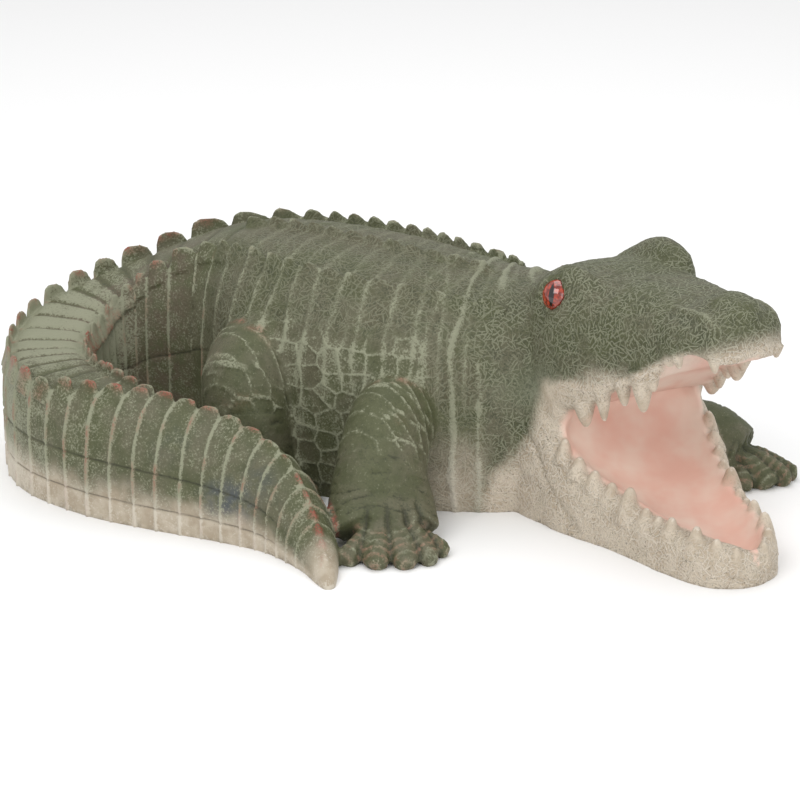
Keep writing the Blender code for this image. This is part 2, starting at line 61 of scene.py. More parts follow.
LAYOUT_MIDDLE = np.array([-1.94, 44.25, 0.0])  # the middle of the casting's underside in the layout
LAYOUT_WIDTH = 582.6
MM = (CAD_BOX[1][0] - CAD_BOX[0][0]) / LAYOUT_WIDTH  # one step of the layout in metres

FORM_VOXEL = 1.9  # the large forms are fused at this size and then softened
SKIN_VOXEL = 1.15  # the skin that takes the relief
SOFTENING_PASSES = 7
SKIN_TRIANGLES = 192000
SUNK = 7.0  # how far the forms reach below the ground before they are cut flat
GROUND_REACH = 900.0
GROUND_DEPTH = 300.0

# The spine from inside the head to the tail's tip, one station a row:
# x, y, height of the back, half width, height of the widest point, share of the
# half width that stands on the ground, squareness of the shoulders, flatness of the back.
SPINE = np.array(
    [
        (148, 20, 146, 36, 60, 0.92, 2.4, 2.2),
        (122, 50, 151, 60, 60, 0.90, 2.6, 2.2),
        (68, 62, 155, 83, 62, 0.88, 2.9, 2.2),
        (4, 84, 164, 94, 64, 0.86, 3.2, 2.2),
        (-66, 125, 167, 84, 62, 0.88, 3.3, 2.4),
        (-115, 156, 161, 61, 52, 0.92, 3.8, 2.8),
        (-160, 170, 143, 47, 46, 0.94, 4.6, 3.4),
        (-205, 171, 120, 38, 42, 0.94, 5.5, 4.0),
        (-243, 148, 104, 34, 36, 0.92, 6.0, 4.0),
        (-259, 100, 91, 32, 34, 0.90, 6.0, 4.0),
        (-247, 50, 90, 32, 32, 0.92, 5.5, 4.0),
        (-207, 8, 89, 31, 26, 0.96, 3.0, 2.6),
        (-160, -18, 84, 31, 22, 0.98, 2.0, 2.0),
        (-114, -40, 76, 30, 18, 0.98, 1.8, 2.0),
        (-78, -68, 60, 24, 14, 0.98, 1.8, 2.0),
        (-57, -106, 31, 15, 9, 0.98, 1.8, 2.0),
        (-49, -138, 12, 7, 5, 0.98, 1.9, 2.0),
        (-47, -149, 4, 3, 2, 0.98, 2.0, 2.0),
    ],
    dtype=float,
)
SPINE_STEPS = 420
BODY_SIDES = 90
HEAD_RINGS = 90
HEAD_SIDES = 72
LIMB_GRID = (32, 48)  # sides and rings of a limb
TOE_GRID = (20, 20)
BALL_GRID = (40, 26)  # sides and rings of a ball
TOOTH_SIDES = 14

# Length of one band of the hide, from one notch between scutes to the next, along the spine.
BAND_PITCH = np.array(
    [(0, 16), (0.30, 16.7), (0.36, 22), (0.40, 31), (0.435, 22), (0.47, 17), (0.50, 15), (0.60, 16.5),
     (0.70, 16.8), (0.80, 18), (0.86, 18), (0.90, 13.5), (1, 9)]
)
BAND_START = 0.360  # a notch falls here

# Rows of scutes along the spine: first and last place, place across at each end
# (shares of the half width) and height of the tablets at each end.
SCUTE_ROWS = (
    (0.10, 0.345, 0.00, 0.00, 6.0, 8.0),
    (0.085, 0.36, 0.60, 0.66, 9.0, 13.0),
    (0.085, 0.36, -0.60, -0.66, 7.0, 10.0),
    (0.36, 0.52, 0.66, 0.90, 15.0, 17.0),
    (0.36, 0.52, -0.66, -0.90, 13.0, 14.0),
    (0.52, 0.66, 0.90, 0.86, 17.0, 14.0),
    (0.52, 0.66, -0.90, -0.86, 14.0, 13.0),
    (0.66, 0.745, 0.86, 0.10, 12.0, 8.0),
    (0.66, 0.745, -0.86, -0.10, 12.0, 8.0),
    (0.745, 0.985, 0.0, 0.0, 9.0, 3.0),
)
SCUTE_THICKNESS = 4.6
# A tablet's section: place across in half thicknesses, and height as a share of its own,
# or in millimetres where it is below 0.
SCUTE_OUTLINE = (
    (-2.8, -6.0), (2.8, -6.0), (2.0, -0.5), (0.9, 0.45), (0.5, 0.93), (0.0, 1.0),
    (-0.5, 0.93), (-0.9, 0.45), (-2.0, -0.5),
)
# How a tablet rises from its head side to its tail side: place along, height, thickness.
BACK_TABLET = (
    (0.0, 0.3, 0.9), (0.25, 0.62, 1.05), (0.5, 0.9, 1.1),
    (0.75, 1.0, 1.1), (0.92, 0.8, 1.0), (1.0, 0.35, 0.9),
)
TAIL_TABLET = (
    (0.0, 0.3, 0.6), (0.15, 0.68, 0.8), (0.4, 0.93, 0.9),
    (0.75, 1.04, 0.9), (0.93, 0.97, 0.8), (1.0, 0.6, 0.6),
)

# The head's frame stands on the ground between the eyes. A place in it is given as
# forward along the snout, across to the animal's left, and height.
HEAD_PLACE = (153.0, 11.0)
HEAD_HEADING = -60.0
JAW_HEADING = -62.0
MOUTH_HEADING = -61.0

# Skull and upper jaw: forward, half width at the lips, height of the top, height of the lips.
UPPER_JAW = np.array(
    [
        (-80, 48, 146, 60),
        (-50, 58, 164, 60),
        (-20, 63, 175, 64),
        (5, 64, 179, 78),
        (22, 62, 179, 81),
        (35, 59, 179, 84),
        (49, 55, 180, 93),
        (66, 49, 181, 108),
        (83, 44, 182, 116),
        (99, 41, 182, 124),
        (106, 40, 182, 137),
        (119, 39, 183, 146),
        (134, 36, 184, 152),
        (146, 31, 182, 150),
        (152, 22, 178, 149),
        (155, 10, 172, 153),
    ],
    dtype=float,
)
# Where the lips' cream ends above: forward, height.
LIP_CREAM = np.array(
    [(0, 100), (10, 104), (27, 110), (49, 113), (65, 120), (79, 126), (90, 133),
     (104, 143), (119, 151), (134, 156), (144, 159), (150, 162), (156, 166)]
)
PALATE_ARCH = 7.0
ARCH_FADE = 20.0  # how far before the snout's tip the palate's arch starts to fade
# Sections of the head's parts: squareness, roundness, and how far up they are widest.
UPPER_SECTION = (3.2, 3.0, 0.12)
THROAT_SECTION = (2.6, 2.4, 0.52)
LOWER_SECTION = (4.5, 5.5, 0.25)
MOUTH_SECTION = (2.6, 2.2, 0.45)

# Throat and cheeks, from the ground to the corners of the mouth.
THROAT = np.array(
    [
        (-80, 56, 140, -60),
        (-50, 70, 145, -60),
        (-20, 75, 140, -60),
        (2, 73, 125, -60),
        (16, 69, 112, -60),
        (27, 63, 104, -60),
    ],
    dtype=float,
)

# Lower jaw: forward, half width, height of the rim, underside.
LOWER_JAW = np.array(
    [
        (-10, 69, 88, 0),
        (12, 70, 83, 0),
        (20, 70, 75, 0),
        (26, 69, 66, 0),
        (37, 66, 58, 0),
        (51, 61, 51, 0),
        (70, 54, 45, 0),
        (85, 50, 39, 0),
        (100, 47, 35, 0),
        (125, 42, 33, 0),
        (150, 35, 31, 0),
        (164, 27, 28, 0),
        (172, 15, 23, 0),
        (175.5, 5, 14, 0),
    ],
    dtype=float,
)

# The hollow of the mouth: forward, half width, ceiling, floor.
MOUTH = np.array(
    [
        (6, 18, 88, 73),
        (12, 42, 93, 64),
        (20, 54, 97, 53),
        (32, 57, 100, 43),
        (48, 54, 102, 34),
        (70, 47, 104, 27),
        (100, 40, 110, 21),
        (125, 33, 110, 17),
        (150, 24, 110, 15),
        (163, 13, 110, 16),
        (169, 3, 110, 18),
    ],
    dtype=float,
)
MOUTH_CORNER = (12.0, 55.0, 83.0)
MOUTH_CORNER_RADII = (11.0, 9.0, 11.0)

# Limbs as chains of stations: x, y, z, radius across, radius up. Then the toes' tips.
RIGHT_ARM = (
    (6, 6, 74, 29, 31), (-7, -20, 66, 30, 33), (-13, -43, 46, 32, 29),
    (-13, -61, 27, 37, 23), (-10, -80, 14, 38, 17),
)
RIGHT_FINGERS = ((-39, -110), (-17, -118), (6, -117), (24, -109), (33, -93))
RIGHT_LEG = (
    (-78, 90, 82, 42, 46), (-102, 58, 78, 38, 44), (-108, 38, 56, 33, 36),
    (-98, 22, 26, 26, 22), (-84, 10, 12, 22, 13),
)
RIGHT_TOES = ((-88, -16), (-74, -15), (-62, -8), (-58, 4))
LEFT_ARM = (
    (92, 100, 72, 36, 40), (138, 112, 38, 28, 30), (184, 92, 24, 25, 25),
    (222, 66, 27, 27, 27), (248, 54, 18, 28, 20),
)
LEFT_FINGERS = ((248, 24), (268, 30), (283, 38), (290, 51), (283, 66))
LEFT_LEG = (
    (-34, 158, 82, 42, 46), (-20, 196, 72, 36, 44), (-2, 208, 52, 31, 36),
    (22, 208, 26, 25, 22), (38, 204, 12, 22, 13),
)
LEFT_TOES = ((68, 188), (76, 200), (74, 214), (62, 226))
LIMBS = (
    (RIGHT_ARM, RIGHT_FINGERS),
    (RIGHT_LEG, RIGHT_TOES),
    (LEFT_ARM, LEFT_FINGERS),
    (LEFT_LEG, LEFT_TOES),
)
TOE_RADIUS = 9.0
# A toe from the foot's middle to its tip: place along, width, height, height of its middle.
TOE_SHAPE = (
    (0.0, 1.0, 1.2, 16), (0.35, 1.1, 1.3, 11), (0.65, 1.05, 1.1, 7),
    (0.87, 0.9, 0.85, 4.5), (0.97, 0.6, 0.6, 3.5), (1.0, 0.25, 0.3, 3),
)

# Teeth of one side: how far forward, height of the tip, radius at the gum.
UPPER_TEETH = (
    (40, 79, 4.6), (55, 87, 3.4), (71, 102, 3.8), (87, 102, 5.2),
    (96, 119, 3.2), (112, 141, 3.0), (120, 142, 3.0), (147, 145, 2.8),
)
LOWER_TEETH = (
    (29, 67, 4.0), (42, 57, 4.6), (55, 51, 4.2), (69, 46, 4.0), (85, 47, 5.4), (101, 37, 4.2),
    (113, 35, 3.4), (125, 38, 4.6), (146, 38, 4.8), (160, 33, 4.2), (169, 28, 3.6),
)
UPPER_ROOT_INSET = 4.0  # how far inside the lips the upper teeth stand, and how deep above them they start
TOOTH_LEAN = 1.0  # how much farther in their tips are
LOWER_ROOT_INSET = 8.0
LOWER_ROOT_DEPTH = 9.0
FAR_TEETH = 0.45  # how far the upper teeth of the animal's left reach, as a share of the right ones
# A tooth from below its root to its tip: place along, share of its radius.
TOOTH_SHAPE = ((-0.5, 1.8), (0.0, 1.5), (0.35, 1.2), (0.65, 0.9), (0.88, 0.6), (1.0, 0.3))

# Ridges over the eyes, from the neck to the snout: forward, across, height, radius across, radius up.
BROW = (
    (-54, 32, 139, 17, 15), (-36, 34, 151, 17, 19), (-16, 36, 161, 16, 22), (-2, 37, 167, 15, 23),
    (8, 37, 168, 14, 22),
    (14, 37, 164, 13, 20), (19, 36, 156, 12, 15), (32, 33, 150, 10, 12),
)
BROW_SUNK = 9.0  # how much lower the ridge of the animal's right lies
EYE = (-5.0, 47.0, 160.0)
EYE_RADIUS = 12.0
EYE_SOCKET = 12.0
EYE_GAZE = (0.64, 0.70, 0.28)  # forward, outward, up
LID_RADIUS = 11.8
LID_THICKNESS = 2.8
LID_REACH = 4.0  # how far along the gaze the lids' ring lies
LID_SETBACK = 2.0  # how far the ring's top and bottom lie back from its corners
NOSTRIL_MOUND = (131.0, 0.0, 180.0)
NOSTRIL_MOUND_RADII = (24.0, 19.0, 11.5)


# Spacing of the neck's folds, the limbs' wrinkles, the toes' bands, and size of the net and the plates.
NECK_FOLDS = 19.0
LIMB_WRINKLES = 8.5
TOE_BANDS = 5.6
NET_SIZE = 14.0
PLATE_SIZE = 12.5


def smooth_rows(rows, count):
    """Rows of numbers read as one smooth curve: Catmull-Rom between each row and the next."""
    rows = np.array(rows, dtype=float)
    padded = np.vstack([2 * rows[0] - rows[1], rows, 2 * rows[-1] - rows[-2]])
    place = np.linspace(0, len(rows) - 1, count)
    index = np.minimum(place.astype(int), len(rows) - 2)
    t = (place - index)[:, None]
    before, start, end, after = (padded[index + step] for step in range(4))
    return 0.5 * (
        2 * start
        + (end - before) * t
        + (2 * before - 5 * start + 4 * end - after) * t**2
        + (3 * start - before - 3 * end + after) * t**3
    )


def signed_power(value, power):
    return np.sign(value) * np.abs(value) ** power


def smoothstep(low, high, value):
    """0 below low, 1 above high, and a soft S between them."""
    t = np.clip((value - low) / (high - low), 0, 1)
    return t * t * (3 - 2 * t)


def bell(value, width):
    """1 at zero, falling to almost nothing at twice the width."""
    return np.exp(-((value / width) ** 2))


def new_object(name, mesh):
    return bpy.data.objects.new(name, mesh)


def skin(name, rings):
    """A closed skin over rings of points (ring, point, xyz), with a pole at each end."""
    count, around = rings.shape[:2]
    points = np.vstack([rings.reshape(-1, 3), rings[0].mean(axis=0), rings[-1].mean(axis=0)])
    ring, step = np.meshgrid(np.arange(count - 1), np.arange(around), indexing="ij")
    following = (step + 1) % around
    quads = np.stack(
        [
            ring * around + step,
            ring * around + following,
            (ring + 1) * around + following,
            (ring + 1) * around + step,
        ],
        axis=-1,
    ).reshape(-1, 4)
    edge = np.arange(around)
    last = (count - 1) * around
    start_fan = np.stack([np.full(around, count * around), (edge + 1) % around, edge], axis=-1)
    end_pole = np.full(around, count * around + 1)
    end_fan = np.stack([end_pole, last + edge, last + (edge + 1) % around], axis=-1)
    mesh = bpy.data.meshes.new(name)
    mesh.from_pydata(points.tolist(), [], quads.tolist() + start_fan.tolist() + end_fan.tolist())
    cleaner = bmesh.new()
    cleaner.from_mesh(mesh)
    bmesh.ops.recalc_face_normals(cleaner, faces=cleaner.faces)
    cleaner.to_mesh(mesh)
    cleaner.free()
    return new_object(name, mesh)


def section(half_width, top, bottom, widest, squareness, roundness, around):
    """Across and up of an egg-shaped section: a superellipse above and below its widest height."""
    angle = np.linspace(0, 2 * math.pi, around, endpoint=False)
    across = half_width[:, None] * signed_power(np.cos(angle), 2 / squareness[:, None])
    lift = signed_power(np.sin(angle), 2 / roundness)
    reach = np.where(lift > 0, (top - widest)[:, None], (widest - bottom)[:, None])
    up = widest[:, None] + reach * lift
    return across, up


def spine_frames():
    """Stations along the spine, evenly spaced, with the unit vector to the animal's left."""
    dense = smooth_rows(SPINE, 60 * len(SPINE))
    run = np.concatenate([[0], np.cumsum(np.linalg.norm(np.diff(dense[:, :2], axis=0), axis=1))])
    place = np.linspace(0, 1, SPINE_STEPS)
    rows = np.stack([np.interp(place, run / run[-1], column) for column in dense.T], axis=-1)
    ahead = np.gradient(rows[:, :2], axis=0)
    ahead /= np.linalg.norm(ahead, axis=1)[:, None]
    left = np.stack([ahead[:, 1], -ahead[:, 0]], axis=-1)
    return rows, left, run[-1]


SPINE_ROWS, SPINE_LEFT, SPINE_LENGTH = spine_frames()
SPINE_PLACES = np.linspace(0, 1, SPINE_STEPS)


def band_counts():
    """How many bands lie between the notch at BAND_START and each station of the spine."""
    pitch = np.interp(SPINE_PLACES, BAND_PITCH[:, 0], BAND_PITCH[:, 1])
    density = SPINE_LENGTH / pitch
    count = np.concatenate([[0], np.cumsum(0.5 * (density[1:] + density[:-1]) * np.diff(SPINE_PLACES))])
    return count - np.interp(BAND_START, SPINE_PLACES, count)


BAND_COUNTS = band_counts()


def along_spine(place, columns):
    """Each column of a table of stations, read at places along the spine."""
    return np.stack([np.interp(place, SPINE_PLACES, column) for column in columns.T], axis=-1)


def body():
    """Trunk and tail: egg-shaped sections carried along the spine."""
    _, _, top, half_width, widest, ground, squareness, flatness = SPINE_ROWS.T
    below = widest - widest / np.sqrt(1 - ground**2)
    across, up = section(half_width, top, below, widest, squareness, flatness[:, None], BODY_SIDES)
    rings = np.concatenate(
        [SPINE_ROWS[:, None, :2] + SPINE_LEFT[:, None, :] * across[:, :, None], up[:, :, None]], axis=2
    )
    return skin("body", rings)


def back_point(place, share_across):
    """The point of the back at a place along the spine and a share of the half width across."""
    x, y, top, half_width, widest, _, squareness, flatness = along_spine(place, SPINE_ROWS)
    side = along_spine(place, SPINE_LEFT)
    share = min(abs(share_across), 1.0)
    height = widest + (top - widest) * (1 - share**squareness) ** (1 / flatness)
    off = side * half_width * share_across
    return np.array([x + off[0], y + off[1], height])


def scutes():
    """Tablets in rows along the back, one in each band between two notches."""
    tablets = []
    for first, last, across_first, across_last, high_first, high_last in SCUTE_ROWS:
        on_tail = first >= BAND_START
        shape, reach = (TAIL_TABLET, (0.06, 0.93)) if on_tail else (BACK_TABLET, (-0.02, 1.02))
        bands = np.interp([first, last], SPINE_PLACES, BAND_COUNTS)
        for band in np.arange(math.ceil(bands[0]), math.floor(bands[1]) + 1):
            start, end = np.interp([band + reach[0], band + reach[1]], BAND_COUNTS, SPINE_PLACES)
            t = (start - first) / (last - first)
            across = across_first + (across_last - across_first) * t
            high = high_first + (high_last - high_first) * t
            tablets.append(tablet(back_point(start, across), back_point(end, across), high, shape))
    return tablets


def tablet(start, end, high, shape):
    """One scute: upright slices from start to end, broad at the foot and rounded at the crest."""
    run = end - start
    ahead = run / np.linalg.norm(run)
    side = np.cross(ahead, (0, 0, 1))
    side /= np.linalg.norm(side)
    rings = []
    for along, height, thick in shape:
        base = start + run * along
        half = 0.5 * SCUTE_THICKNESS * thick
        top = high * height
        outline = [(across, up if up < 0 else up * top) for across, up in SCUTE_OUTLINE]
        rings.append([base + side * half * across + np.array([0, 0, up]) for across, up in outline])
    return skin("scute", np.array(rings))


def to_layout(forward, across, up, heading=HEAD_HEADING):
    """A place in the head's frame as a point of the layout."""
    turn = math.radians(heading)
    x = HEAD_PLACE[0] + forward * math.cos(turn) - across * math.sin(turn)
    y = HEAD_PLACE[1] + forward * math.sin(turn) + across * math.cos(turn)
    return np.stack(np.broadcast_arrays(x, y, up), axis=-1)


def head_place(points, heading=HEAD_HEADING):
    """Points of the layout in the head's frame: forward, across, up."""
    turn = math.radians(heading)
    x, y = points[:, 0] - HEAD_PLACE[0], points[:, 1] - HEAD_PLACE[1]
    return x * math.cos(turn) + y * math.sin(turn), y * math.cos(turn) - x * math.sin(turn), points[:, 2]


def head_loft(name, stations, heading, shape, arch=0.0):
    """Sections set across the head's own axis. An arch lifts the middle of the underside."""
    squareness, roundness, widest_share = shape
    rows = smooth_rows(stations, HEAD_RINGS)
    forward, half_width, top, bottom = rows.T
    bottom = bottom - np.where(bottom < 1, SUNK, 0)
    widest = bottom + (top - bottom) * widest_share
    squareness = np.full(HEAD_RINGS, squareness)
    across, up = section(half_width, top, bottom, widest, squareness, roundness, HEAD_SIDES)
    lower = np.clip((widest[:, None] - up) / np.maximum(widest - bottom, 1e-6)[:, None], 0, 1)
    fade = np.clip((forward[-1] - forward[:, None]) / ARCH_FADE, 0, 1)
    up = up + arch * fade * lower * (1 - np.clip(np.abs(across) / half_width[:, None], 0, 1) ** 4)
    return skin(name, to_layout(forward[:, None], across, up, heading))


def tube(name, stations, grid):
    """A limb: upright egg-shaped rings along a smooth path, closed round at both ends."""
    around, along = grid
    rows = smooth_rows(stations, along)
    ahead = np.gradient(rows[:, :3], axis=0)
    ahead /= np.linalg.norm(ahead, axis=1)[:, None]
    side = np.cross(ahead, (0, 0, 1))
    side /= np.maximum(np.linalg.norm(side, axis=1), 1e-6)[:, None]
    rise = np.cross(side, ahead)
    angle = np.linspace(0, 2 * math.pi, around, endpoint=False)
    rings = (
        rows[:, None, :3]
        + side[:, None, :] * (rows[:, 3, None] * np.cos(angle))[:, :, None]
        + rise[:, None, :] * (rows[:, 4, None] * np.sin(angle))[:, :, None]
    )
    return skin(name, rings)


def ellipsoid(name, centre, radii, heading=HEAD_HEADING):
    """A ball stretched by three radii in the head's frame: rings of latitude from pole to pole."""
    sides, levels = BALL_GRID
    lift = np.linspace(-math.pi / 2, math.pi / 2, levels)[1:-1, None]
    turn = np.linspace(0, 2 * math.pi, sides, endpoint=False)
    forward = centre[0] + radii[0] * np.cos(lift) * np.cos(turn)
    across = centre[1] + radii[1] * np.cos(lift) * np.sin(turn)
    up = centre[2] + radii[2] * np.sin(lift) * np.ones_like(turn)
    return skin(name, to_layout(forward, across, up, heading))


def toe_path(stations, tip):
    """The stations of one toe from the foot's middle to its tip."""
    foot = np.array(stations[-1][:2], dtype=float)
    reach = np.array(tip, dtype=float) - foot
    return [
        (*(foot + reach * along), up, TOE_RADIUS * wide, TOE_RADIUS * high)
        for along, wide, high, up in TOE_SHAPE
    ]


def limb(stations, toes):
    """A leg with its toes: each toe swells out of the foot and tapers to a blunt claw."""
    parts = [tube("limb", stations, LIMB_GRID)]
    parts += [tube("toe", toe_path(stations, tip), TOE_GRID) for tip in toes]
    return parts


def tooth(root, tip, radius):
    """A blunt cone from root to tip."""
    run = tip - root
    side = np.cross(run / np.linalg.norm(run), (0.3, 0.9, 0.1))
    side /= np.linalg.norm(side)
    other = np.cross(run / np.linalg.norm(run), side)
    angle = np.linspace(0, 2 * math.pi, TOOTH_SIDES, endpoint=False)
    circle = np.outer(np.cos(angle), side) + np.outer(np.sin(angle), other)
    rings = [root + run * along + radius * wide * circle for along, wide in TOOTH_SHAPE]
    return skin("tooth", np.array(rings))


def tooth_places():
    """Root and tip of every tooth, with its radius."""
    found = []
    for side in (-1, 1):
        for forward, tip_height, radius in UPPER_TEETH:
            half, lip = (np.interp(forward, UPPER_JAW[:, 0], UPPER_JAW[:, column]) for column in (1, 3))
            root = to_layout(forward, side * (half - UPPER_ROOT_INSET), lip + UPPER_ROOT_INSET)
            reach = 1.0 if side < 0 else FAR_TEETH
            inward = half - UPPER_ROOT_INSET - TOOTH_LEAN
            tip = to_layout(forward + TOOTH_LEAN, side * inward, lip + (tip_height - lip) * reach)
            found.append((root, tip, radius))
        for forward, tip_height, radius in LOWER_TEETH:
            half, rim = (np.interp(forward, LOWER_JAW[:, 0], LOWER_JAW[:, column]) for column in (1, 2))
            root = to_layout(forward, side * (half - LOWER_ROOT_INSET), rim - LOWER_ROOT_DEPTH, JAW_HEADING)
            tip = to_layout(forward, side * (half - LOWER_ROOT_INSET - TOOTH_LEAN), tip_height, JAW_HEADING)
            found.append((root, tip, radius))
    return found


def eye_axes(side):
    """Middle of one eye, and its gaze, level and rise as unit vectors."""
    centre = to_layout(EYE[0], side * EYE[1], EYE[2])
    gaze = to_layout(EYE_GAZE[0], side * EYE_GAZE[1], EYE_GAZE[2]) - to_layout(0, 0, 0)
    gaze /= np.linalg.norm(gaze)
    level = np.cross(gaze, (0, 0, 1))
    level /= np.linalg.norm(level)
    return centre, gaze, level, np.cross(level, gaze)


def lids(side):
    """The ring of lids round one eye: a torus across the gaze, thicker above."""
    centre, gaze, level, rise = eye_axes(side)
    turn = np.linspace(0, 2 * math.pi, 48, endpoint=False)[:, None, None]
    around = np.linspace(0, 2 * math.pi, 16, endpoint=False)[None, :, None]
    out = level * np.cos(turn) + rise * np.sin(turn)
    thick = LID_THICKNESS * (1 + 0.25 * np.sin(turn))
    rings = centre + gaze * (LID_REACH - LID_SETBACK * np.sin(turn) ** 2)
    rings = rings + out * (LID_RADIUS + thick * np.cos(around))
    rings = rings + gaze * thick * np.sin(around)
    return closed_band("lids", rings)


def closed_band(name, rings):
    """A skin over rings whose last one joins the first."""
    count, across = rings.shape[:2]
    ring, step = np.meshgrid(np.arange(count), np.arange(across), indexing="ij")
    later, following = (ring + 1) % count, (step + 1) % across
    quads = np.stack(
        [ring * across + step, ring * across + following, later * across + following, later * across + step],
        axis=-1,
    ).reshape(-1, 4)
    mesh = bpy.data.meshes.new(name)
    mesh.from_pydata(rings.reshape(-1, 3).tolist(), [], quads.tolist())
    cleaner = bmesh.new()
    cleaner.from_mesh(mesh)
    bmesh.ops.recalc_face_normals(cleaner, faces=cleaner.faces)
    cleaner.to_mesh(mesh)
    cleaner.free()
    return new_object(name, mesh)


def brow(side):
    """The ridge over one eye, as a tube in the head's frame."""
    stations = [
        (*to_layout(forward, side * across, up - (BROW_SUNK if side < 0 else 0)), wide, high)
        for forward, across, up, wide, high in BROW
    ]
    return tube("brow", stations, LIMB_GRID)


def joined(name, pieces):
    """Several closed meshes as one object, still overlapping."""
    union = bmesh.new()
    for piece in pieces:
        union.from_mesh(piece.data)
        mesh = piece.data
        bpy.data.objects.remove(piece)
        bpy.data.meshes.remove(mesh)
    mesh = bpy.data.meshes.new(name)
    union.to_mesh(mesh)
    union.free()
    return new_object(name, mesh)


def evaluated(obj):
    """The object with its modifiers applied."""
    bpy.context.scene.collection.objects.link(obj)
    graph = bpy.context.evaluated_depsgraph_get()
    mesh = bpy.data.meshes.new_from_object(obj.evaluated_get(graph))
    name = obj.name
    bpy.data.objects.remove(obj)
    return new_object(name, mesh)


def fused(name, pieces, voxel, passes, cutters=()):
    """One skin over overlapping pieces, softened, with the cutters taken away."""
    obj = joined(name, pieces)
    remesh = obj.modifiers.new("fuse", "REMESH")
    remesh.mode = "VOXEL"
    remesh.voxel_size = voxel
    if passes:
        soften = obj.modifiers.new("soften", "SMOOTH")
        soften.factor = 0.5
        soften.iterations = passes
    for cutter in cutters:
        cut = obj.modifiers.new("cut", "BOOLEAN")
        cut.operation = "DIFFERENCE"
        cut.object = cutter
    return evaluated(obj)


def ground_block():
    """What lies below the ground, as a cutter."""
    block = bmesh.new()
    bmesh.ops.create_cube(block, size=1.0)
    for vertex in block.verts:
        x, y, z = vertex.co
        vertex.co = (x * GROUND_REACH, y * GROUND_REACH, (z - 0.5) * GROUND_DEPTH)
    mesh = bpy.data.meshes.new("ground")
    block.to_mesh(mesh)
    block.free()
    return new_object("ground", mesh)


def casting():
    """The fused casting before its relief, in the layout."""
    scene = bpy.context.scene.collection
    mouth = head_loft("mouth", MOUTH, MOUTH_HEADING, MOUTH_SECTION)
    sockets = [ellipsoid("socket", (EYE[0], side * EYE[1], EYE[2]), (EYE_SOCKET,) * 3) for side in (-1, 1)]
    cutters = [mouth, *sockets]
    for cutter in cutters:
        scene.objects.link(cutter)
    bpy.context.view_layer.update()
    jaws = fused(
        "jaws",
        [
            head_loft("throat", THROAT, HEAD_HEADING, THROAT_SECTION),
            head_loft("lower_jaw", LOWER_JAW, JAW_HEADING, LOWER_SECTION),
        ],
        FORM_VOXEL,
        SOFTENING_PASSES,
        [mouth],
    )
    forms = [
        body(),
        jaws,
        head_loft("upper_jaw", UPPER_JAW, HEAD_HEADING, UPPER_SECTION, PALATE_ARCH),
        ellipsoid("nostril_mound", NOSTRIL_MOUND, NOSTRIL_MOUND_RADII),
    ]
    for side in (-1, 1):
        forms.append(brow(side))
        forward, across, up = MOUTH_CORNER
        forms.append(ellipsoid("corner", (forward, side * across, up), MOUTH_CORNER_RADII))
    for stations, toes in LIMBS:
        forms += limb(stations, toes)
    main = fused("alligator", forms, FORM_VOXEL, SOFTENING_PASSES, sockets)
    for cutter in cutters:
        bpy.data.objects.remove(cutter)
    teeth = [tooth(*place) for place in tooth_places()]
    return fused("alligator", [main, *scutes(), *teeth, lids(-1), lids(1)], SKIN_VOXEL, 1)


def hashed(cells, seed):
    """A steady random number from 0 to 1 for each cell of a lattice."""
    primes = np.array([73856093, 19349663, 83492791])[: cells.shape[-1]]
    mixed = (cells.astype(np.int64) * primes).sum(axis=-1) + seed * 374761393
    mixed = (mixed ^ (mixed >> 13)) * 1274126177
    return ((mixed ^ (mixed >> 16)) & 0xFFFFFF) / float(0xFFFFFF)


def grain(points, size, seed):
    """Soft random hills from -1 to 1: random values on a lattice, blended between its corners."""
    place = points / size
    cell = np.floor(place).astype(int)
    t = place - cell
    t = t * t * (3 - 2 * t)
    total = np.zeros(len(points))
    for corner in np.ndindex(2, 2, 2):
        weight = np.prod(np.where(corner, t, 1 - t), axis=-1)
        total += weight * hashed(cell + np.array(corner), seed)
    return 2 * total - 1


def net(across, up, size, seed):
    """How far each place is from the border between its two nearest seeds, in cell sizes."""
    place = np.stack([across, up], axis=-1) / size
    cell = np.floor(place).astype(int)
    nearest = np.full(len(place), 9.0)
    second = nearest.copy()
    for step in np.ndindex(3, 3):
        neighbour = cell + np.array(step) - 1
        jitter = np.stack([hashed(neighbour, seed), hashed(neighbour, seed + 1)], axis=-1)
        reach = np.linalg.norm(place - neighbour - 0.15 - 0.7 * jitter, axis=-1)
        second = np.minimum(second, np.maximum(nearest, reach))
        nearest = np.minimum(nearest, reach)
    return second - nearest


def nearest_station(points, centres, radii):
    """Index of the station whose middle is nearest to each point, measured in that station's radii."""
    found = np.empty(len(points), dtype=int)
    squares = (centres**2).sum(axis=1)
    for start in range(0, len(points), 40000):
        part = points[start : start + 40000]
        gap = (part**2).sum(axis=1)[:, None] - 2 * part @ centres.T + squares
        found[start : start + 40000] = np.argmin(gap / radii**2, axis=1)
    return found


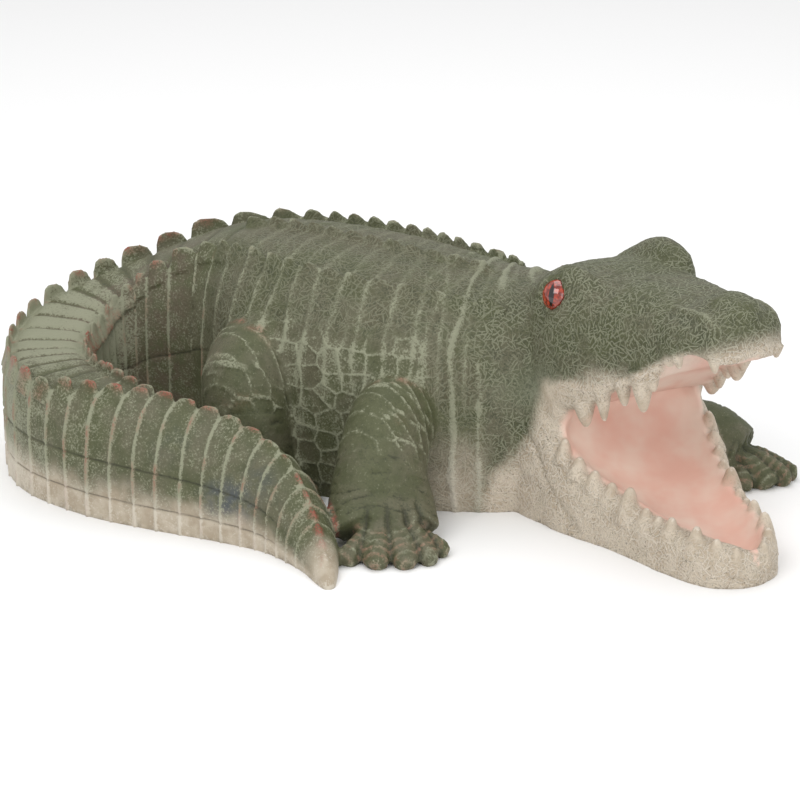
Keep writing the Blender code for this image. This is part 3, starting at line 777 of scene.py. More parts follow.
def spine_place(points):
    """Where points lie on the body: place along the spine, distance to the animal's left,
    how far out from the bare section (1 on its skin), and the height and half width there."""
    flat = points[:, :2]
    index = nearest_station(flat, SPINE_ROWS[:, :2], SPINE_ROWS[:, 3])
    ahead = np.stack([-SPINE_LEFT[:, 1], SPINE_LEFT[:, 0]], axis=-1)
    turning = np.gradient(np.unwrap(np.arctan2(ahead[:, 1], ahead[:, 0]))) * (SPINE_STEPS - 1) / SPINE_LENGTH
    gap = flat - SPINE_ROWS[index, :2]
    across = (gap * SPINE_LEFT[index]).sum(axis=1)
    along = (gap * ahead[index]).sum(axis=1) / np.clip(1 + turning[index] * across, 0.35, 3)
    place = np.clip(SPINE_PLACES[index] + along / SPINE_LENGTH, 0, 1)
    x, y, top, half_width, widest, ground, squareness, flatness = along_spine(place, SPINE_ROWS).T
    side = along_spine(place, SPINE_LEFT)
    across = (flat[:, 0] - x) * side[:, 0] + (flat[:, 1] - y) * side[:, 1]
    below = widest / np.sqrt(1 - ground**2)
    rise = points[:, 2] - widest
    up = np.where(rise > 0, rise / (top - widest), -rise / below)
    shell = np.abs(across / half_width) ** squareness + np.abs(up) ** flatness
    shell = shell ** (2 / (squareness + flatness))
    return place, across, shell, top, half_width


def limb_place(points, stations):
    """Where points lie on a limb: millimetres along it, and how far out from its middle (1 on its skin).

    Points far from the limb are left at 9 radii.
    """
    rows = smooth_rows(stations, 60)
    radius = rows[:, 3:5].mean(axis=1)
    run = np.concatenate([[0], np.cumsum(np.linalg.norm(np.diff(rows[:, :3], axis=0), axis=1))])
    reach = 1.7 * radius.max()
    low, high = rows[:, :3].min(axis=0) - reach, rows[:, :3].max(axis=0) + reach
    close = ((points > low) & (points < high)).all(axis=1)
    along = np.zeros(len(points))
    ratio = np.full(len(points), 9.0)
    index = nearest_station(points[close], rows[:, :3], radius)
    along[close] = run[index]
    ratio[close] = np.linalg.norm(points[close] - rows[index, :3], axis=1) / radius[index]
    return along, ratio, run[-1]


def finger_grooves(points, stations, tips):
    """How near points lie to the grooves between the toes of one foot, which fan out from above its wrist."""
    wrist = np.array(stations[-3][:2], dtype=float)
    gap = points[:, :2] - wrist
    reach = np.linalg.norm(gap, axis=1)
    heading = np.arctan2(gap[:, 1], gap[:, 0])
    middle = np.array(tips, dtype=float).mean(axis=0) - wrist
    centre = math.atan2(middle[1], middle[0])
    away = np.array(tips, dtype=float) - wrist
    turned = np.arctan2(away[:, 1], away[:, 0]) - centre
    turned = np.sort(np.remainder(turned + math.pi, 2 * math.pi) - math.pi)
    nearest = np.full(len(points), 99.0)
    for between in 0.5 * (turned[1:] + turned[:-1]) + centre:
        off = np.remainder(heading - between + math.pi, 2 * math.pi) - math.pi
        nearest = np.minimum(nearest, np.where(np.abs(off) < 1.2, reach * np.abs(np.sin(off)), 99.0))
    share = reach / np.linalg.norm(middle)
    on_toes = smoothstep(0.4, 0.62, share) * smoothstep(1.3, 1.15, share) * smoothstep(38, 28, points[:, 2])
    return bell(nearest, 1.9) * on_toes


def head_section(stations, forward, across, up):
    """How far out a place is from the mouth's hollow: 1 on its skin, less inside."""
    half, ceiling, floor = (np.interp(forward, stations[:, 0], stations[:, column]) for column in (1, 2, 3))
    middle = 0.45 * ceiling + 0.55 * floor
    side = np.abs(across) / half
    rise = np.where(up > middle, (up - middle) / (ceiling - middle), (middle - up) / (middle - floor))
    return (side**2.4 + rise**2.4) ** (1 / 2.4)


def relief(points, normals):
    """The carving and the paint of the skin, worked out from where each point lies.

    Returns the height of the carving in millimetres, and the paint masks by name, from 0 to 1.
    """
    place, across, shell, top, half_width = spine_place(points)
    forward, side, up = head_place(points)
    jaw_forward = head_place(points, JAW_HEADING)[0]
    share_up = up / top
    share_across = across / half_width
    band = np.interp(place, SPINE_PLACES, BAND_COUNTS)
    pitch = np.interp(place, BAND_PITCH[:, 0], BAND_PITCH[:, 1])

    limb_ratio = np.full(len(points), 9.0)
    limb_along = np.zeros(len(points))
    limb_share = np.zeros(len(points))
    toe_ratio = np.full(len(points), 9.0)
    toe_along = np.zeros(len(points))
    groove = np.zeros(len(points))
    for stations, toes in LIMBS:
        along, ratio, length = limb_place(points, stations)
        closer = ratio < limb_ratio
        limb_ratio = np.where(closer, ratio, limb_ratio)
        limb_along = np.where(closer, along, limb_along)
        limb_share = np.where(closer, along / length, limb_share)
        groove = np.maximum(groove, finger_grooves(points, stations, toes))
        for tip in toes:
            along, ratio, length = limb_place(points, toe_path(stations, tip))
            closer = (ratio < toe_ratio) & (along > 0.3 * length)
            toe_ratio = np.where(closer, ratio, toe_ratio)
            toe_along = np.where(closer, along, toe_along)

    beside = np.where(side > 0, smoothstep(83, 77, side), smoothstep(105, 88, -side))
    is_head = smoothstep(-75, -35, forward) * beside * smoothstep(0.22, 0.14, place)
    is_toe = smoothstep(1.5, 1.2, toe_ratio) * (1 - is_head)
    is_limb = np.maximum(smoothstep(0.0, 0.12, shell - limb_ratio) * (1 - is_head), is_toe)
    is_body = (1 - is_head) * (1 - is_limb)
    is_tail = smoothstep(0.32, 0.37, place) * is_body
    is_trunk = is_body * (1 - is_tail)
    is_back = smoothstep(0.62, 0.5, np.abs(share_across)) * smoothstep(0.85, 0.95, share_up)
    # Raised lines across the tail, one at each notch, from the crest to the ground.
    wander = 2.2 * grain(points, 18.0, 3)
    bent = band + 0.5 * wander / pitch * smoothstep(0.9, 0.5, share_up)
    line = bell(np.abs(bent - np.round(bent)) * pitch, 1.0)
    aside = np.abs(share_across)
    trough = smoothstep(0.8, 0.65, aside) * smoothstep(0.72, 0.68, place) * smoothstep(0.8, 0.9, share_up)
    ribs = is_tail * (1 - trough) * line * smoothstep(0.97, 0.93, place)
    carving = 1.5 * ribs - is_tail * trough * 1.2 * bell(np.abs(band - np.round(band)) * pitch, 1.8)
    # Two fine grooves along the tail's sides.
    grooves = bell((share_up - 0.5) * top, 0.9) + bell((share_up - 0.2) * top, 0.9)
    grooves = is_tail * grooves * smoothstep(0.95, 0.90, place) * smoothstep(0.6, 0.7, aside)
    carving -= 1.0 * grooves
    # Folds that fall from the ridges over the trunk's flanks and sag across its back.
    folded = band + (wander + 3.0 * grain(points, 30.0, 12)) / pitch
    fold = bell(np.abs(folded - np.round(folded)) * pitch, 1.6)
    falls = is_trunk * fold * smoothstep(60, 110, up)
    carving += falls * (0.9 - 0.5 * is_back)
    # Long loose folds of the neck.
    neck = smoothstep(0.17, 0.12, place) * is_trunk
    round_neck = np.remainder(place * SPINE_LENGTH / NECK_FOLDS + 0.25 * grain(points, 30.0, 13), 1)
    carving += neck * 1.9 * bell(np.abs(round_neck - 0.5) * NECK_FOLDS, 2.6)
    # The net of raised lines on the flank.
    cells = net(place * SPINE_LENGTH + wander, up, NET_SIZE, 11)
    in_net = is_trunk * smoothstep(0.13, 0.16, place) * smoothstep(0.30, 0.27, place)
    in_net = in_net * smoothstep(134, 116, up + 4 * grain(points, 9.0, 15)) * smoothstep(0.62, 0.75, aside)
    netting = in_net * bell(cells, 0.08)
    falls = falls * (1 - 0.8 * in_net)
    carving += 0.9 * netting
    # Plates on the upper limbs, fine folds below them, bands on the toes.
    plates = net(limb_along + 0.8 * wander, 0.8 * (points[:, 0] + points[:, 1]), PLATE_SIZE, 21)
    upper_limb = is_limb * smoothstep(0.58, 0.48, limb_share) * (1 - is_toe)
    plate_lines = upper_limb * bell(plates, 0.09)
    carving += 0.9 * plate_lines
    creased = (limb_along + 5 * grain(points, 16.0, 5)) / LIMB_WRINKLES
    wrinkle = bell(np.abs(creased - np.round(creased)) * LIMB_WRINKLES, 1.0)
    wrinkle = wrinkle * smoothstep(-0.4, 0.2, grain(points, 8.0, 6))
    lower_limb = is_limb * smoothstep(0.48, 0.58, limb_share) * (1 - is_toe)
    carving -= lower_limb * 0.9 * wrinkle
    banded = toe_along / TOE_BANDS
    toe_bands = is_toe * bell(np.abs(banded - np.round(banded)) * TOE_BANDS, 0.9)
    carving += 0.45 * toe_bands
    on_foot = smoothstep(0.55, 0.7, np.maximum(limb_share, is_toe)) * np.maximum(is_limb, is_toe)
    groove = groove * on_foot
    carving -= 2.3 * groove
    # The crease from the cheek down behind the jaw, and the ridge along the snout with a hollow below it.
    crease_up = np.interp(jaw_forward, (-8, 8, 16, 22, 33, 52), (69, 54, 43, 32, 22, 6))
    crease = is_head * smoothstep(-14, -2, jaw_forward) * smoothstep(58, 46, jaw_forward)
    crease = crease * bell(0.7 * (up - crease_up), 2.4)
    carving -= 1.7 * crease
    along_snout = is_head * smoothstep(96, 108, forward) * smoothstep(152, 142, forward)
    along_snout = along_snout * smoothstep(14, 22, np.abs(side))
    carving += along_snout * (1.2 * bell(np.abs(side) - 25, 2.4) - 1.4 * bell(np.abs(side) - 31, 3.0))
    # Fine uneven modelling everywhere, rougher on the head, the neck and the trunk.
    rough = grain(points, 3.2, 7) + 0.6 * grain(points, 1.9, 8)
    carving += 0.26 * rough * (1 - 0.5 * is_tail) + 0.5 * grain(points, 9.0, 9) * (is_head + is_trunk)

    # The mouth: how far inside, the lips, and the bare jaws.
    mouth_forward = head_place(points, MOUTH_HEADING)[0]
    hollow = head_section(MOUTH, *head_place(points, MOUTH_HEADING))
    lips = np.interp(forward, UPPER_JAW[:, 0], UPPER_JAW[:, 3])
    upper_half = np.interp(forward, UPPER_JAW[:, 0], UPPER_JAW[:, 1])
    palate = smoothstep(-0.1, -0.5, normals[:, 2]) * smoothstep(upper_half - 3, upper_half - 10, np.abs(side))
    palate = palate * (up > 70) * (up < lips + 14) * smoothstep(6, 16, forward)
    in_mouth = smoothstep(1.14, 1.03, hollow) * smoothstep(-4, 4, mouth_forward) * (up < 118)
    salmon = is_head * np.maximum(palate, in_mouth)
    near_tooth = np.full(len(points), 99.0)
    close = np.flatnonzero(is_head > 0)
    for root, tip, radius in tooth_places():
        t = np.clip(((points[close] - root) @ (tip - root)) / ((tip - root) @ (tip - root)), 0, 1)
        gap = np.linalg.norm(points[close] - root - t[:, None] * (tip - root), axis=1)
        near_tooth[close] = np.minimum(near_tooth[close], gap / (radius * (1.25 - 0.7 * t)))
    tooth_mask = is_head * smoothstep(1.35, 1.0, near_tooth)
    uneven = grain(points, 11.0, 41) + 0.5 * grain(points, 4.0, 42)
    jaw_line = np.interp(jaw_forward, (-60, -30, -10, 5, 20, 40, 60), (-30, 6, 42, 66, 90, 112, 122))
    lower_cream = is_head * smoothstep(11, -11, up - jaw_line + 5 * uneven)
    lip_top = np.interp(forward, LIP_CREAM[:, 0], LIP_CREAM[:, 1])
    soft = np.interp(forward, (0, 20, 130, 150), (6, 3, 3, 9))
    lip_cream = is_head * smoothstep(soft, -soft, up - lip_top + 1.5 * uneven) * smoothstep(-6, 8, forward)
    low = smoothstep(0.42, 0.16, share_up + 0.06 * uneven)
    tail_tip = smoothstep(0.95, 0.985, place + 0.004 * uneven)
    cream_tail = is_tail * np.maximum(low * smoothstep(0.42, 0.6, place), tail_tip)
    cream = np.clip(np.maximum.reduce([lower_cream, lip_cream, 0.8 * cream_tail, tooth_mask]), 0, 1)
    neck_cream = neck * smoothstep(78, 8, up + 6 * uneven) * 0.75
    cream = np.maximum(cream, neck_cream)
    cheek = is_head * bell(forward - 4, 20) * bell(up - 96, 17) * smoothstep(50, 60, np.abs(side))

    # Red on the crests of the scutes and on some plates, slate along the tail, olive brown in the curl.
    out = smoothstep(1.05, 1.13, shell) * is_body
    patches = smoothstep(-0.4, 0.3, grain(points, 6.0, 31))
    spots = smoothstep(0.15, 0.6, grain(points, 26.0, 33))
    brick = np.maximum.reduce(
        [
            out * patches,
            ribs * smoothstep(0.0, 0.5, grain(points, 9.0, 32)) * 0.7,
            is_limb * spots * patches * smoothstep(0.62, 0.3, limb_share) * 0.5,
            toe_bands * patches * 0.5,
            palate * 0.4 * smoothstep(-0.2, 0.5, grain(points, 14.0, 34)),
        ]
    )
    slate = is_tail * smoothstep(0.76, 0.84, place) * smoothstep(0.96, 0.9, place)
    slate = slate * smoothstep(-0.5, 0.6, grain(points, 30.0, 35))
    slate = slate * smoothstep(0.05, 0.3, share_up) * smoothstep(1.0, 0.7, share_up)
    brown = is_tail * smoothstep(0.70, 0.60, place) * smoothstep(0.36, 0.42, place)
    brown = brown * np.maximum(0.35, smoothstep(0, -10, across))
    brown = np.maximum(brown, 0.5 * is_trunk * smoothstep(0.3, -0.4, grain(points, 34.0, 37)))
    strawy = is_head * (1 - 0.8 * cheek) + 0.6 * is_trunk * (1 - 0.8 * in_net)
    worn = is_tail * (0.12 + 0.3 * bell(place - 0.57, 0.08) + 0.06 * uneven)
    masks = {
        "cream": cream,
        "salmon": salmon * (1 - tooth_mask),
        "brick": brick * (1 - 0.8 * cream),
        "slate": 0.75 * slate,
        "brown": brown,
        "straw": strawy * (1 - salmon) * (1 - tooth_mask),
        "net": np.maximum.reduce([netting, 0.75 * ribs, 0.38 * falls, 0.6 * toe_bands, 0.8 * plate_lines]),
        "crack": np.maximum.reduce([0.7 * grooves, 0.6 * groove, 0.35 * crease, 0.5 * wrinkle * lower_limb]),
        "cheek": cheek,
        "worn": worn + 0.06 * is_limb + 0.14 * is_trunk * in_net,
        # painted shade: the palate's underside, facing down, is darkened through the hollows' dark coat
        "shade": palate,
    }
    carving = carving * (1 - salmon) * (1 - tooth_mask) * (1 - 0.8 * cheek)
    return carving, {name: np.clip(values, 0, 1) for name, values in masks.items()}


def read_points(mesh):
    """Vertices and normals of a mesh as arrays."""
    points = np.empty(len(mesh.vertices) * 3)
    mesh.vertices.foreach_get("co", points)
    normals = np.empty(len(mesh.vertices) * 3, dtype=np.float32)
    mesh.vertex_normals.foreach_get("vector", normals)
    return points.reshape(-1, 3), normals.reshape(-1, 3).astype(float)


def write_points(mesh, points):
    mesh.vertices.foreach_set("co", points.ravel())
    mesh.update()


def softened(mesh, values, passes):
    """Values at the vertices, averaged with their neighbours again and again."""
    edges = np.empty(len(mesh.edges) * 2, dtype=np.int64)
    mesh.edges.foreach_get("vertices", edges)
    a, b = edges.reshape(-1, 2).T
    count = np.bincount(a, minlength=len(values)) + np.bincount(b, minlength=len(values))
    count = np.maximum(count, 1)
    for _ in range(passes):
        summed = np.stack(
            [
                np.bincount(a, weights=column[b], minlength=len(column))
                + np.bincount(b, weights=column[a], minlength=len(column))
                for column in values.T
            ],
            axis=-1,
        )
        values = 0.3 * values + 0.7 * summed / count[:, None]
    return values


def bulging(mesh, points, normals):
    """How strongly the skin bulges at each vertex: above 0 on crests, below 0 in hollows, in 1 / mm.

    A vertex's height over the mean of its neighbours, divided by the square of their distance.
    """
    edges = np.empty(len(mesh.edges) * 2, dtype=np.int64)
    mesh.edges.foreach_get("vertices", edges)
    a, b = edges.reshape(-1, 2).T
    square = ((points[a] - points[b]) ** 2).sum(axis=1)
    size = len(points)
    total = np.bincount(a, weights=square, minlength=size) + np.bincount(b, weights=square, minlength=size)
    count = np.bincount(a, minlength=size) + np.bincount(b, minlength=size)
    proud = ((points - softened(mesh, points, 1)) * normals).sum(axis=1) / 0.7
    bulge = 4 * proud * count / np.maximum(total, 1e-6)
    return softened(mesh, np.clip(bulge, -1.5, 1.5)[:, None], 3)[:, 0]


def cut_flat(obj):
    """The object cut off flat at the ground."""
    ground = ground_block()
    bpy.context.scene.collection.objects.link(ground)
    cut = obj.modifiers.new("flat_base", "BOOLEAN")
    cut.operation = "DIFFERENCE"
    cut.object = ground
    whole = evaluated(obj)
    bpy.data.objects.remove(ground)
    return whole


def thinned(obj, triangles):
    """The same form on fewer triangles."""
    faces = sum(len(polygon.vertices) - 2 for polygon in obj.data.polygons)
    thin = obj.modifiers.new("facets", "DECIMATE")
    thin.ratio = min(1.0, triangles / faces)
    return evaluated(obj)


def carved_casting():
    """The casting with its relief, thinned, cut flat, painted by masks and moved into the frame."""
    obj = casting()
    points, normals = read_points(obj.data)
    height, _ = relief(points, normals)
    write_points(obj.data, points + normals * height[:, None])
    obj = thinned(obj, SKIN_TRIANGLES)
    obj = cut_flat(obj)
    mesh = obj.data
    points, normals = read_points(mesh)
    height, masks = relief(points, normals)
    bulge = bulging(mesh, points, normals)
    raised = 0.42 + masks.pop("worn") + 0.22 * height + 0.45 * smoothstep(0.1, 0.7, bulge)
    # The hollows' dark coat: darker in concavities and carved lines, plus painted shade on the palate's
    # underside.
    hollow = smoothstep(0.06, 0.5, -bulge) - 0.1 * np.minimum(height, 0) + 0.5 * masks.pop("shade")
    masks["raised"], masks["hollow"] = np.clip(raised, 0, 1), np.clip(hollow, 0, 1)
    for name, values in masks.items():
        attribute = mesh.attributes.new(name, "FLOAT", "POINT")
        attribute.data.foreach_set("value", values.astype(np.float32))
    low, high = (np.array(corner) for corner in CAD_BOX)
    write_points(mesh, np.clip((points - LAYOUT_MIDDLE) * MM, low, high))
    mesh.shade_smooth()
    mesh.materials.clear()
    obj.name = mesh.name = "alligator_skin"
    return obj


def eyeball(side):
    """One eye as rings round its gaze, from the pupil to the back, with its own map of the iris."""
    centre, gaze, level, rise = eye_axes(side)
    lean = np.linspace(0, math.pi, 34)[1:-1, None, None]
    turn = np.linspace(0, 2 * math.pi, 48, endpoint=False)[None, :, None]
    rings = centre + EYE_RADIUS * (
        gaze * np.cos(lean) + (level * np.cos(turn) + rise * np.sin(turn)) * np.sin(lean)
    )
    obj = skin("eye_right" if side < 0 else "eye_left", rings)
    points, _ = read_points(obj.data)
    offset = points - centre
    iris = np.stack([offset @ level, offset @ rise, offset @ gaze], axis=-1)
    attribute = obj.data.attributes.new("iris", "FLOAT_VECTOR", "POINT")
    attribute.data.foreach_set("vector", iris.astype(np.float32).ravel())
    write_points(obj.data, (points - LAYOUT_MIDDLE) * MM)
    obj.data.shade_smooth()
    return obj


def linear(colour):
    """An sRGB hex colour as linear red, green, blue, alpha."""
    parts = [int(colour[i : i + 2], 16) / 255 for i in (1, 3, 5)]
    return (*[p / 12.92 if p <= 0.04045 else ((p + 0.055) / 1.055) ** 2.4 for p in parts], 1.0)


def add_node(tree, kind, output=0, settings=None, **inputs):
    """One output of a new node with its settings, each input given as a value or as the socket that feeds it.

    An input's name has underscores for spaces, or is in_ and its number.
    """
    node = tree.nodes.new(kind)
    for name, value in (settings or {}).items():
        setattr(node, name, value)
    for name, value in inputs.items():
        socket = node.inputs[int(name[3:]) if name.startswith("in_") else name.replace("_", " ")]
        if isinstance(value, bpy.types.NodeSocket):
            tree.links.new(value, socket)
        else:
            socket.default_value = value
    return node.outputs[output]


def new_material(name):
    material = bpy.data.materials.new(name)
    material.use_nodes = True
    tree = material.node_tree
    tree.nodes.clear()
    shader = tree.nodes.new("ShaderNodeBsdfPrincipled")
    output = tree.nodes.new("ShaderNodeOutputMaterial")
    tree.links.new(shader.outputs[0], output.inputs[0])
    return material, tree, shader


MIX, MATH, RANGE, NOISE = "ShaderNodeMix", "ShaderNodeMath", "ShaderNodeMapRange", "ShaderNodeTexNoise"
VECTOR, ATTRIBUTE = "ShaderNodeVectorMath", "ShaderNodeAttribute"
COLOURS = {"data_type": "RGBA"}
TIMES, PLUS, POWER = ({"operation": name} for name in ("MULTIPLY", "ADD", "POWER"))
SOFT = {"interpolation_type": "SMOOTHSTEP"}

PAINT_MASKS = (
    "cream", "salmon", "brick", "slate", "brown", "straw", "net", "crack", "cheek", "raised", "hollow"
)
# The straws pressed into the resin: spacing, half width and seed of each layer, in millimetres.
STRAWS = ((6.4, 0.38, 3.0), (5.0, 0.33, 17.0), (3.8, 0.27, 41.0))


def straws(tree, coordinates, normal):
    """Short fine lines lying every way in the skin.

    Each cell of a Voronoi pattern holds one line: the cell's colour gives its direction, laid flat in
    the surface, and a point's distance from that line gives its height.
    """
    total = 0.0
    for spacing, half, seed in STRAWS:
        spot = add_node(tree, VECTOR, 0, {"operation": "ADD"}, in_0=coordinates, in_1=(seed, seed, seed))
        cells = {"Vector": spot, "Scale": 1 / (spacing * MM)}
        middle = add_node(tree, "ShaderNodeTexVoronoi", "Position", None, **cells)
        chance = add_node(tree, "ShaderNodeTexVoronoi", "Color", None, **cells)
        away = add_node(tree, VECTOR, 0, {"operation": "SUBTRACT"}, in_0=spot, in_1=middle)
        aim = add_node(tree, VECTOR, 0, {"operation": "SUBTRACT"}, in_0=chance, in_1=(0.5, 0.5, 0.5))
        across = add_node(tree, VECTOR, 0, {"operation": "CROSS_PRODUCT"}, in_0=aim, in_1=normal)
        across = add_node(tree, VECTOR, 0, {"operation": "NORMALIZE"}, in_0=across)
        offset = add_node(tree, VECTOR, "Value", {"operation": "DOT_PRODUCT"}, in_0=away, in_1=across)
        offset = add_node(tree, MATH, 0, {"operation": "ABSOLUTE"}, in_0=offset)
        ridge = add_node(tree, RANGE, 0, SOFT, Value=offset, From_Min=2 * half * MM, From_Max=0.5 * half * MM)
        total = add_node(tree, MATH, 0, {"operation": "MAXIMUM"}, in_0=ridge, in_1=total)
    return total


def painted_resin():
    """Cast resin, hand painted: sage under a dark wash, dry-brushed pale, with cream, salmon, red and slate."""
    material, tree, shader = new_material("painted_resin")
    coordinates = add_node(tree, "ShaderNodeTexCoord", "Object")
    normal = add_node(tree, "ShaderNodeTexCoord", "Normal")
    masks = {name: add_node(tree, ATTRIBUTE, "Fac", {"attribute_name": name}) for name in PAINT_MASKS}
    # Clouds, patches, the brush's grain and specks: size in millimetres, detail, roughness.
    cloudy, patchy, fine, speck = (
        add_node(tree, NOISE, 0, None, Vector=coordinates, Scale=1 / (size * MM), Detail=detail, Roughness=rough)
        for size, detail, rough in ((40, 3, 0.55), (12, 4, 0.6), (1.5, 4, 0.65), (1.4, 2, 0.7))
    )
    straw = add_node(tree, MATH, 0, TIMES, in_0=straws(tree, coordinates, normal), in_1=masks["straw"])
    # Paints of two tones: the pattern that mixes them, where it starts and ends.
    tones = []
    for pattern, low, high, first, second in (
        (cloudy, 0.38, 0.62, "#515439", "#5c5a46"),
        (patchy, 0.35, 0.65, "#c6baa8", "#b0a18d"),
        (cloudy, 0.3, 0.7, "#dfcbbc", "#dab0a0"),
    ):
        blend = add_node(tree, RANGE, 0, SOFT, Value=pattern, From_Min=low, From_Max=high)
        tones.append(add_node(tree, MIX, 2, COLOURS, in_0=blend, in_6=linear(first), in_7=linear(second)))
    base, cream, salmon = tones
    # The wash and the dry brushing are lighter on the cream than on the sage.
    wash, pale = (
        add_node(tree, MIX, 2, COLOURS, in_0=masks["cream"], in_6=linear(first), in_7=linear(second))
        for first, second in (("#3a3e2b", "#a09480"), ("#8f917a", "#d3cabc"))
    )
    # The wash stays in the recesses, dry brushing catches what stands proud, and both spare the mouth.
    recessed = add_node(tree, RANGE, 0, SOFT, Value=masks["raised"], From_Min=0.2, From_Max=0.8, To_Max=0.35)
    recessed = add_node(tree, MATH, 0, PLUS, in_0=fine, in_1=recessed)
    proud = add_node(tree, MATH, 0, TIMES, in_0=fine, in_1=0.8)
    proud = add_node(tree, MATH, 0, PLUS, in_0=masks["raised"], in_1=proud)
    not_mouth = add_node(tree, RANGE, 0, SOFT, Value=masks["salmon"], From_Min=1.0, From_Max=0.0)
    # The coats in the order in which they are laid on, painted shade on the palate among them: the pattern that
    # breaks each up, where it starts and ends, the coat's strength, the mask that it is kept to, and its colour.
    for pattern, low, high, strength, mask, colour in (
        (patchy, 0.42, 0.66, 0.7, 1.0, linear("#464a2f")),
        (patchy, 0.35, 0.6, 0.9, masks["brown"], linear("#5e5545")),
        (1.0, 0.0, 1.0, 1.0, masks["cheek"], linear("#777a67")),
        (patchy, 0.3, 0.6, 1.0, masks["slate"], linear("#4a4f56")),
        (1.0, 0.0, 1.0, 1.0, masks["cream"], cream),
        (1.0, 0.0, 1.0, 1.0, masks["salmon"], salmon),
        (recessed, 0.62, 0.45, 0.7, not_mouth, wash),
        # dark coat of the hollows: darker in concavities and carved lines, and painted shade on the palate's
        # underside
        (masks["hollow"], 0.1, 1.0, 0.42, 1.0, linear("#2b2c20")),
        (masks["crack"], 0.2, 0.9, 0.75, 1.0, linear("#2a2a1f")),
        (proud, 0.94, 1.14, 0.8, 1.0, pale),
        (fine, 0.34, 0.5, 0.7, masks["net"], pale),
        (patchy, 0.25, 0.55, 0.62, straw, pale),
        (fine, 0.38, 0.54, 0.9, masks["brick"], linear("#8a4537")),
        (speck, 0.58, 0.66, 0.5, masks["straw"], linear("#30321f")),
    ):
        amount = add_node(tree, RANGE, 0, SOFT, Value=pattern, From_Min=low, From_Max=high, To_Max=strength)
        amount = add_node(tree, MATH, 0, TIMES, in_0=amount, in_1=mask)
        base = add_node(tree, MIX, 2, COLOURS, in_0=amount, in_6=base, in_7=colour)
    tree.links.new(base, shader.inputs["Base Color"])
    shader.inputs["Roughness"].default_value = 0.6
    shader.inputs["IOR"].default_value = 1.5
    shader.inputs["Specular IOR Level"].default_value = 0.35
    rough = add_node(tree, MATH, 0, PLUS, in_0=straw, in_1=fine)
    rough = add_node(tree, MATH, 0, TIMES, in_0=rough, in_1=not_mouth)
    bump = add_node(tree, "ShaderNodeBump", 0, None, Height=rough, Strength=0.8, Distance=0.6 * MM)
    tree.links.new(bump, shader.inputs["Normal"])
    return material


def eye_lacquer():
    """Gloss lacquer over a brick-red iris with an upright black slit."""
    material, tree, shader = new_material("eye_lacquer")
    iris = add_node(tree, ATTRIBUTE, "Vector", {"attribute_name": "iris"})
    wide, tall = (add_node(tree, "ShaderNodeSeparateXYZ", axis, None, Vector=iris) for axis in (0, 1))
    streaks = add_node(tree, NOISE, 0, None, Vector=iris, Scale=0.45, Detail=4.0)
    streaks = add_node(tree, RANGE, 0, SOFT, Value=streaks, From_Min=0.35, From_Max=0.65)
    red = add_node(tree, MIX, 2, COLOURS, in_0=streaks, in_6=linear("#6a1f14"), in_7=linear("#a83c22"))
    wide = add_node(tree, MATH, 0, {"operation": "SUBTRACT"}, in_0=wide, in_1=2.6)
    wide = add_node(tree, MATH, 0, {"operation": "ABSOLUTE"}, in_0=wide)
    tall = add_node(tree, MATH, 0, TIMES, in_0=tall, in_1=tall)
    tall = add_node(tree, MATH, 0, TIMES, in_0=tall, in_1=0.028)
    slit = add_node(tree, MATH, 0, PLUS, in_0=wide, in_1=tall)
    slit = add_node(tree, RANGE, 0, SOFT, Value=slit, From_Min=2.3, From_Max=1.7)
    black = add_node(tree, MIX, 2, COLOURS, in_0=slit, in_6=red, in_7=linear("#0c0a09"))
    tree.links.new(black, shader.inputs["Base Color"])
    shader.inputs["Roughness"].default_value = 0.08
    shader.inputs["Coat Weight"].default_value = 1.0
    shader.inputs["Coat Roughness"].default_value = 0.03
    return material


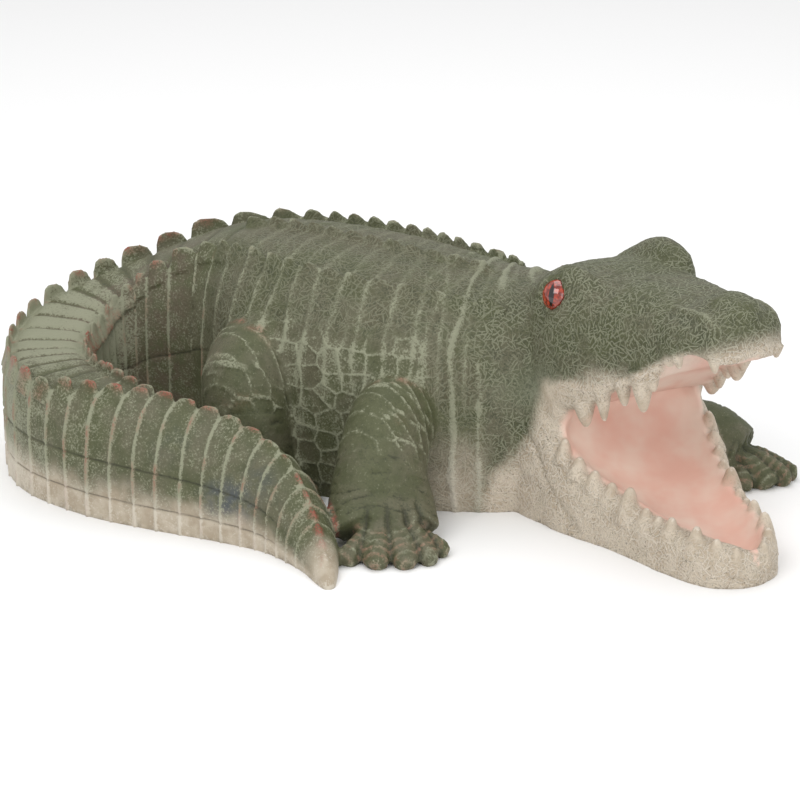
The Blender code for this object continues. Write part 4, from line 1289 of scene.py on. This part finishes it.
def studio():
    """A pale floor, a large soft light over the viewer's left shoulder, a fill, and the standard view transform.
    """
    scene = bpy.context.scene
    floor_mesh = bpy.data.meshes.new("floor")
    reach = 3.0
    corners = [(-reach, -reach, 0), (reach, -reach, 0), (reach, reach, 0), (-reach, reach, 0)]
    floor_mesh.from_pydata(corners, [], [(0, 1, 2, 3)])
    floor = new_object("floor", floor_mesh)
    floor_material, _, shader = new_material("pale_floor")
    shader.inputs["Base Color"].default_value = linear("#f6f6f6")
    shader.inputs["Roughness"].default_value = 0.9
    floor_mesh.materials.append(floor_material)
    scene.collection.objects.link(floor)
    aim = Vector((0, -0.02, 0.06))
    for name, place, size, power in (
        ("key", (-0.8, -1.6, 1.8), 1.4, 22),
        ("fill", (1.1, -1.9, 0.6), 1.4, 10),
        ("top", (0.1, 0.5, 2.0), 1.6, 14),
    ):
        light = bpy.data.lights.new(name, "AREA")
        light.size = size
        light.energy = power
        lamp = new_object(name, light)
        lamp.location = place
        lamp.rotation_euler = (aim - Vector(place)).to_track_quat("-Z", "Y").to_euler()
        scene.collection.objects.link(lamp)
    world = bpy.data.worlds.new("studio")
    world.use_nodes = True
    world.node_tree.nodes["Background"].inputs[0].default_value = linear("#ffffff")
    world.node_tree.nodes["Background"].inputs[1].default_value = 0.75
    scene.world = world
    scene.view_settings.view_transform = "Standard"


def camera():
    """The photograph's view: level with its middle, looking down 20 degrees from two metres."""
    tilt = math.radians(20)
    target = Vector((np.array([0.0, 0.0, 80.0]) - LAYOUT_MIDDLE) * MM)
    data = bpy.data.cameras.new("camera")
    data.lens = 128
    data.sensor_width = 36
    eye = new_object("camera", data)
    eye.location = target + 2000 * MM * Vector((0, -math.cos(tilt), math.sin(tilt)))
    eye.rotation_euler = (target - eye.location).to_track_quat("-Z", "Y").to_euler()
    bpy.context.scene.collection.objects.link(eye)
    bpy.context.scene.camera = eye


def main():
    statue = carved_casting()
    bpy.context.scene.collection.objects.link(statue)
    statue.data.materials.append(painted_resin())
    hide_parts("alligator")
    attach(statue, "root")
    lacquer = eye_lacquer()
    for side in (-1, 1):
        eye = eyeball(side)
        bpy.context.scene.collection.objects.link(eye)
        eye.data.materials.append(lacquer)
        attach(eye, "root")
    studio()
    camera()
    bpy.context.view_layer.update()


main()
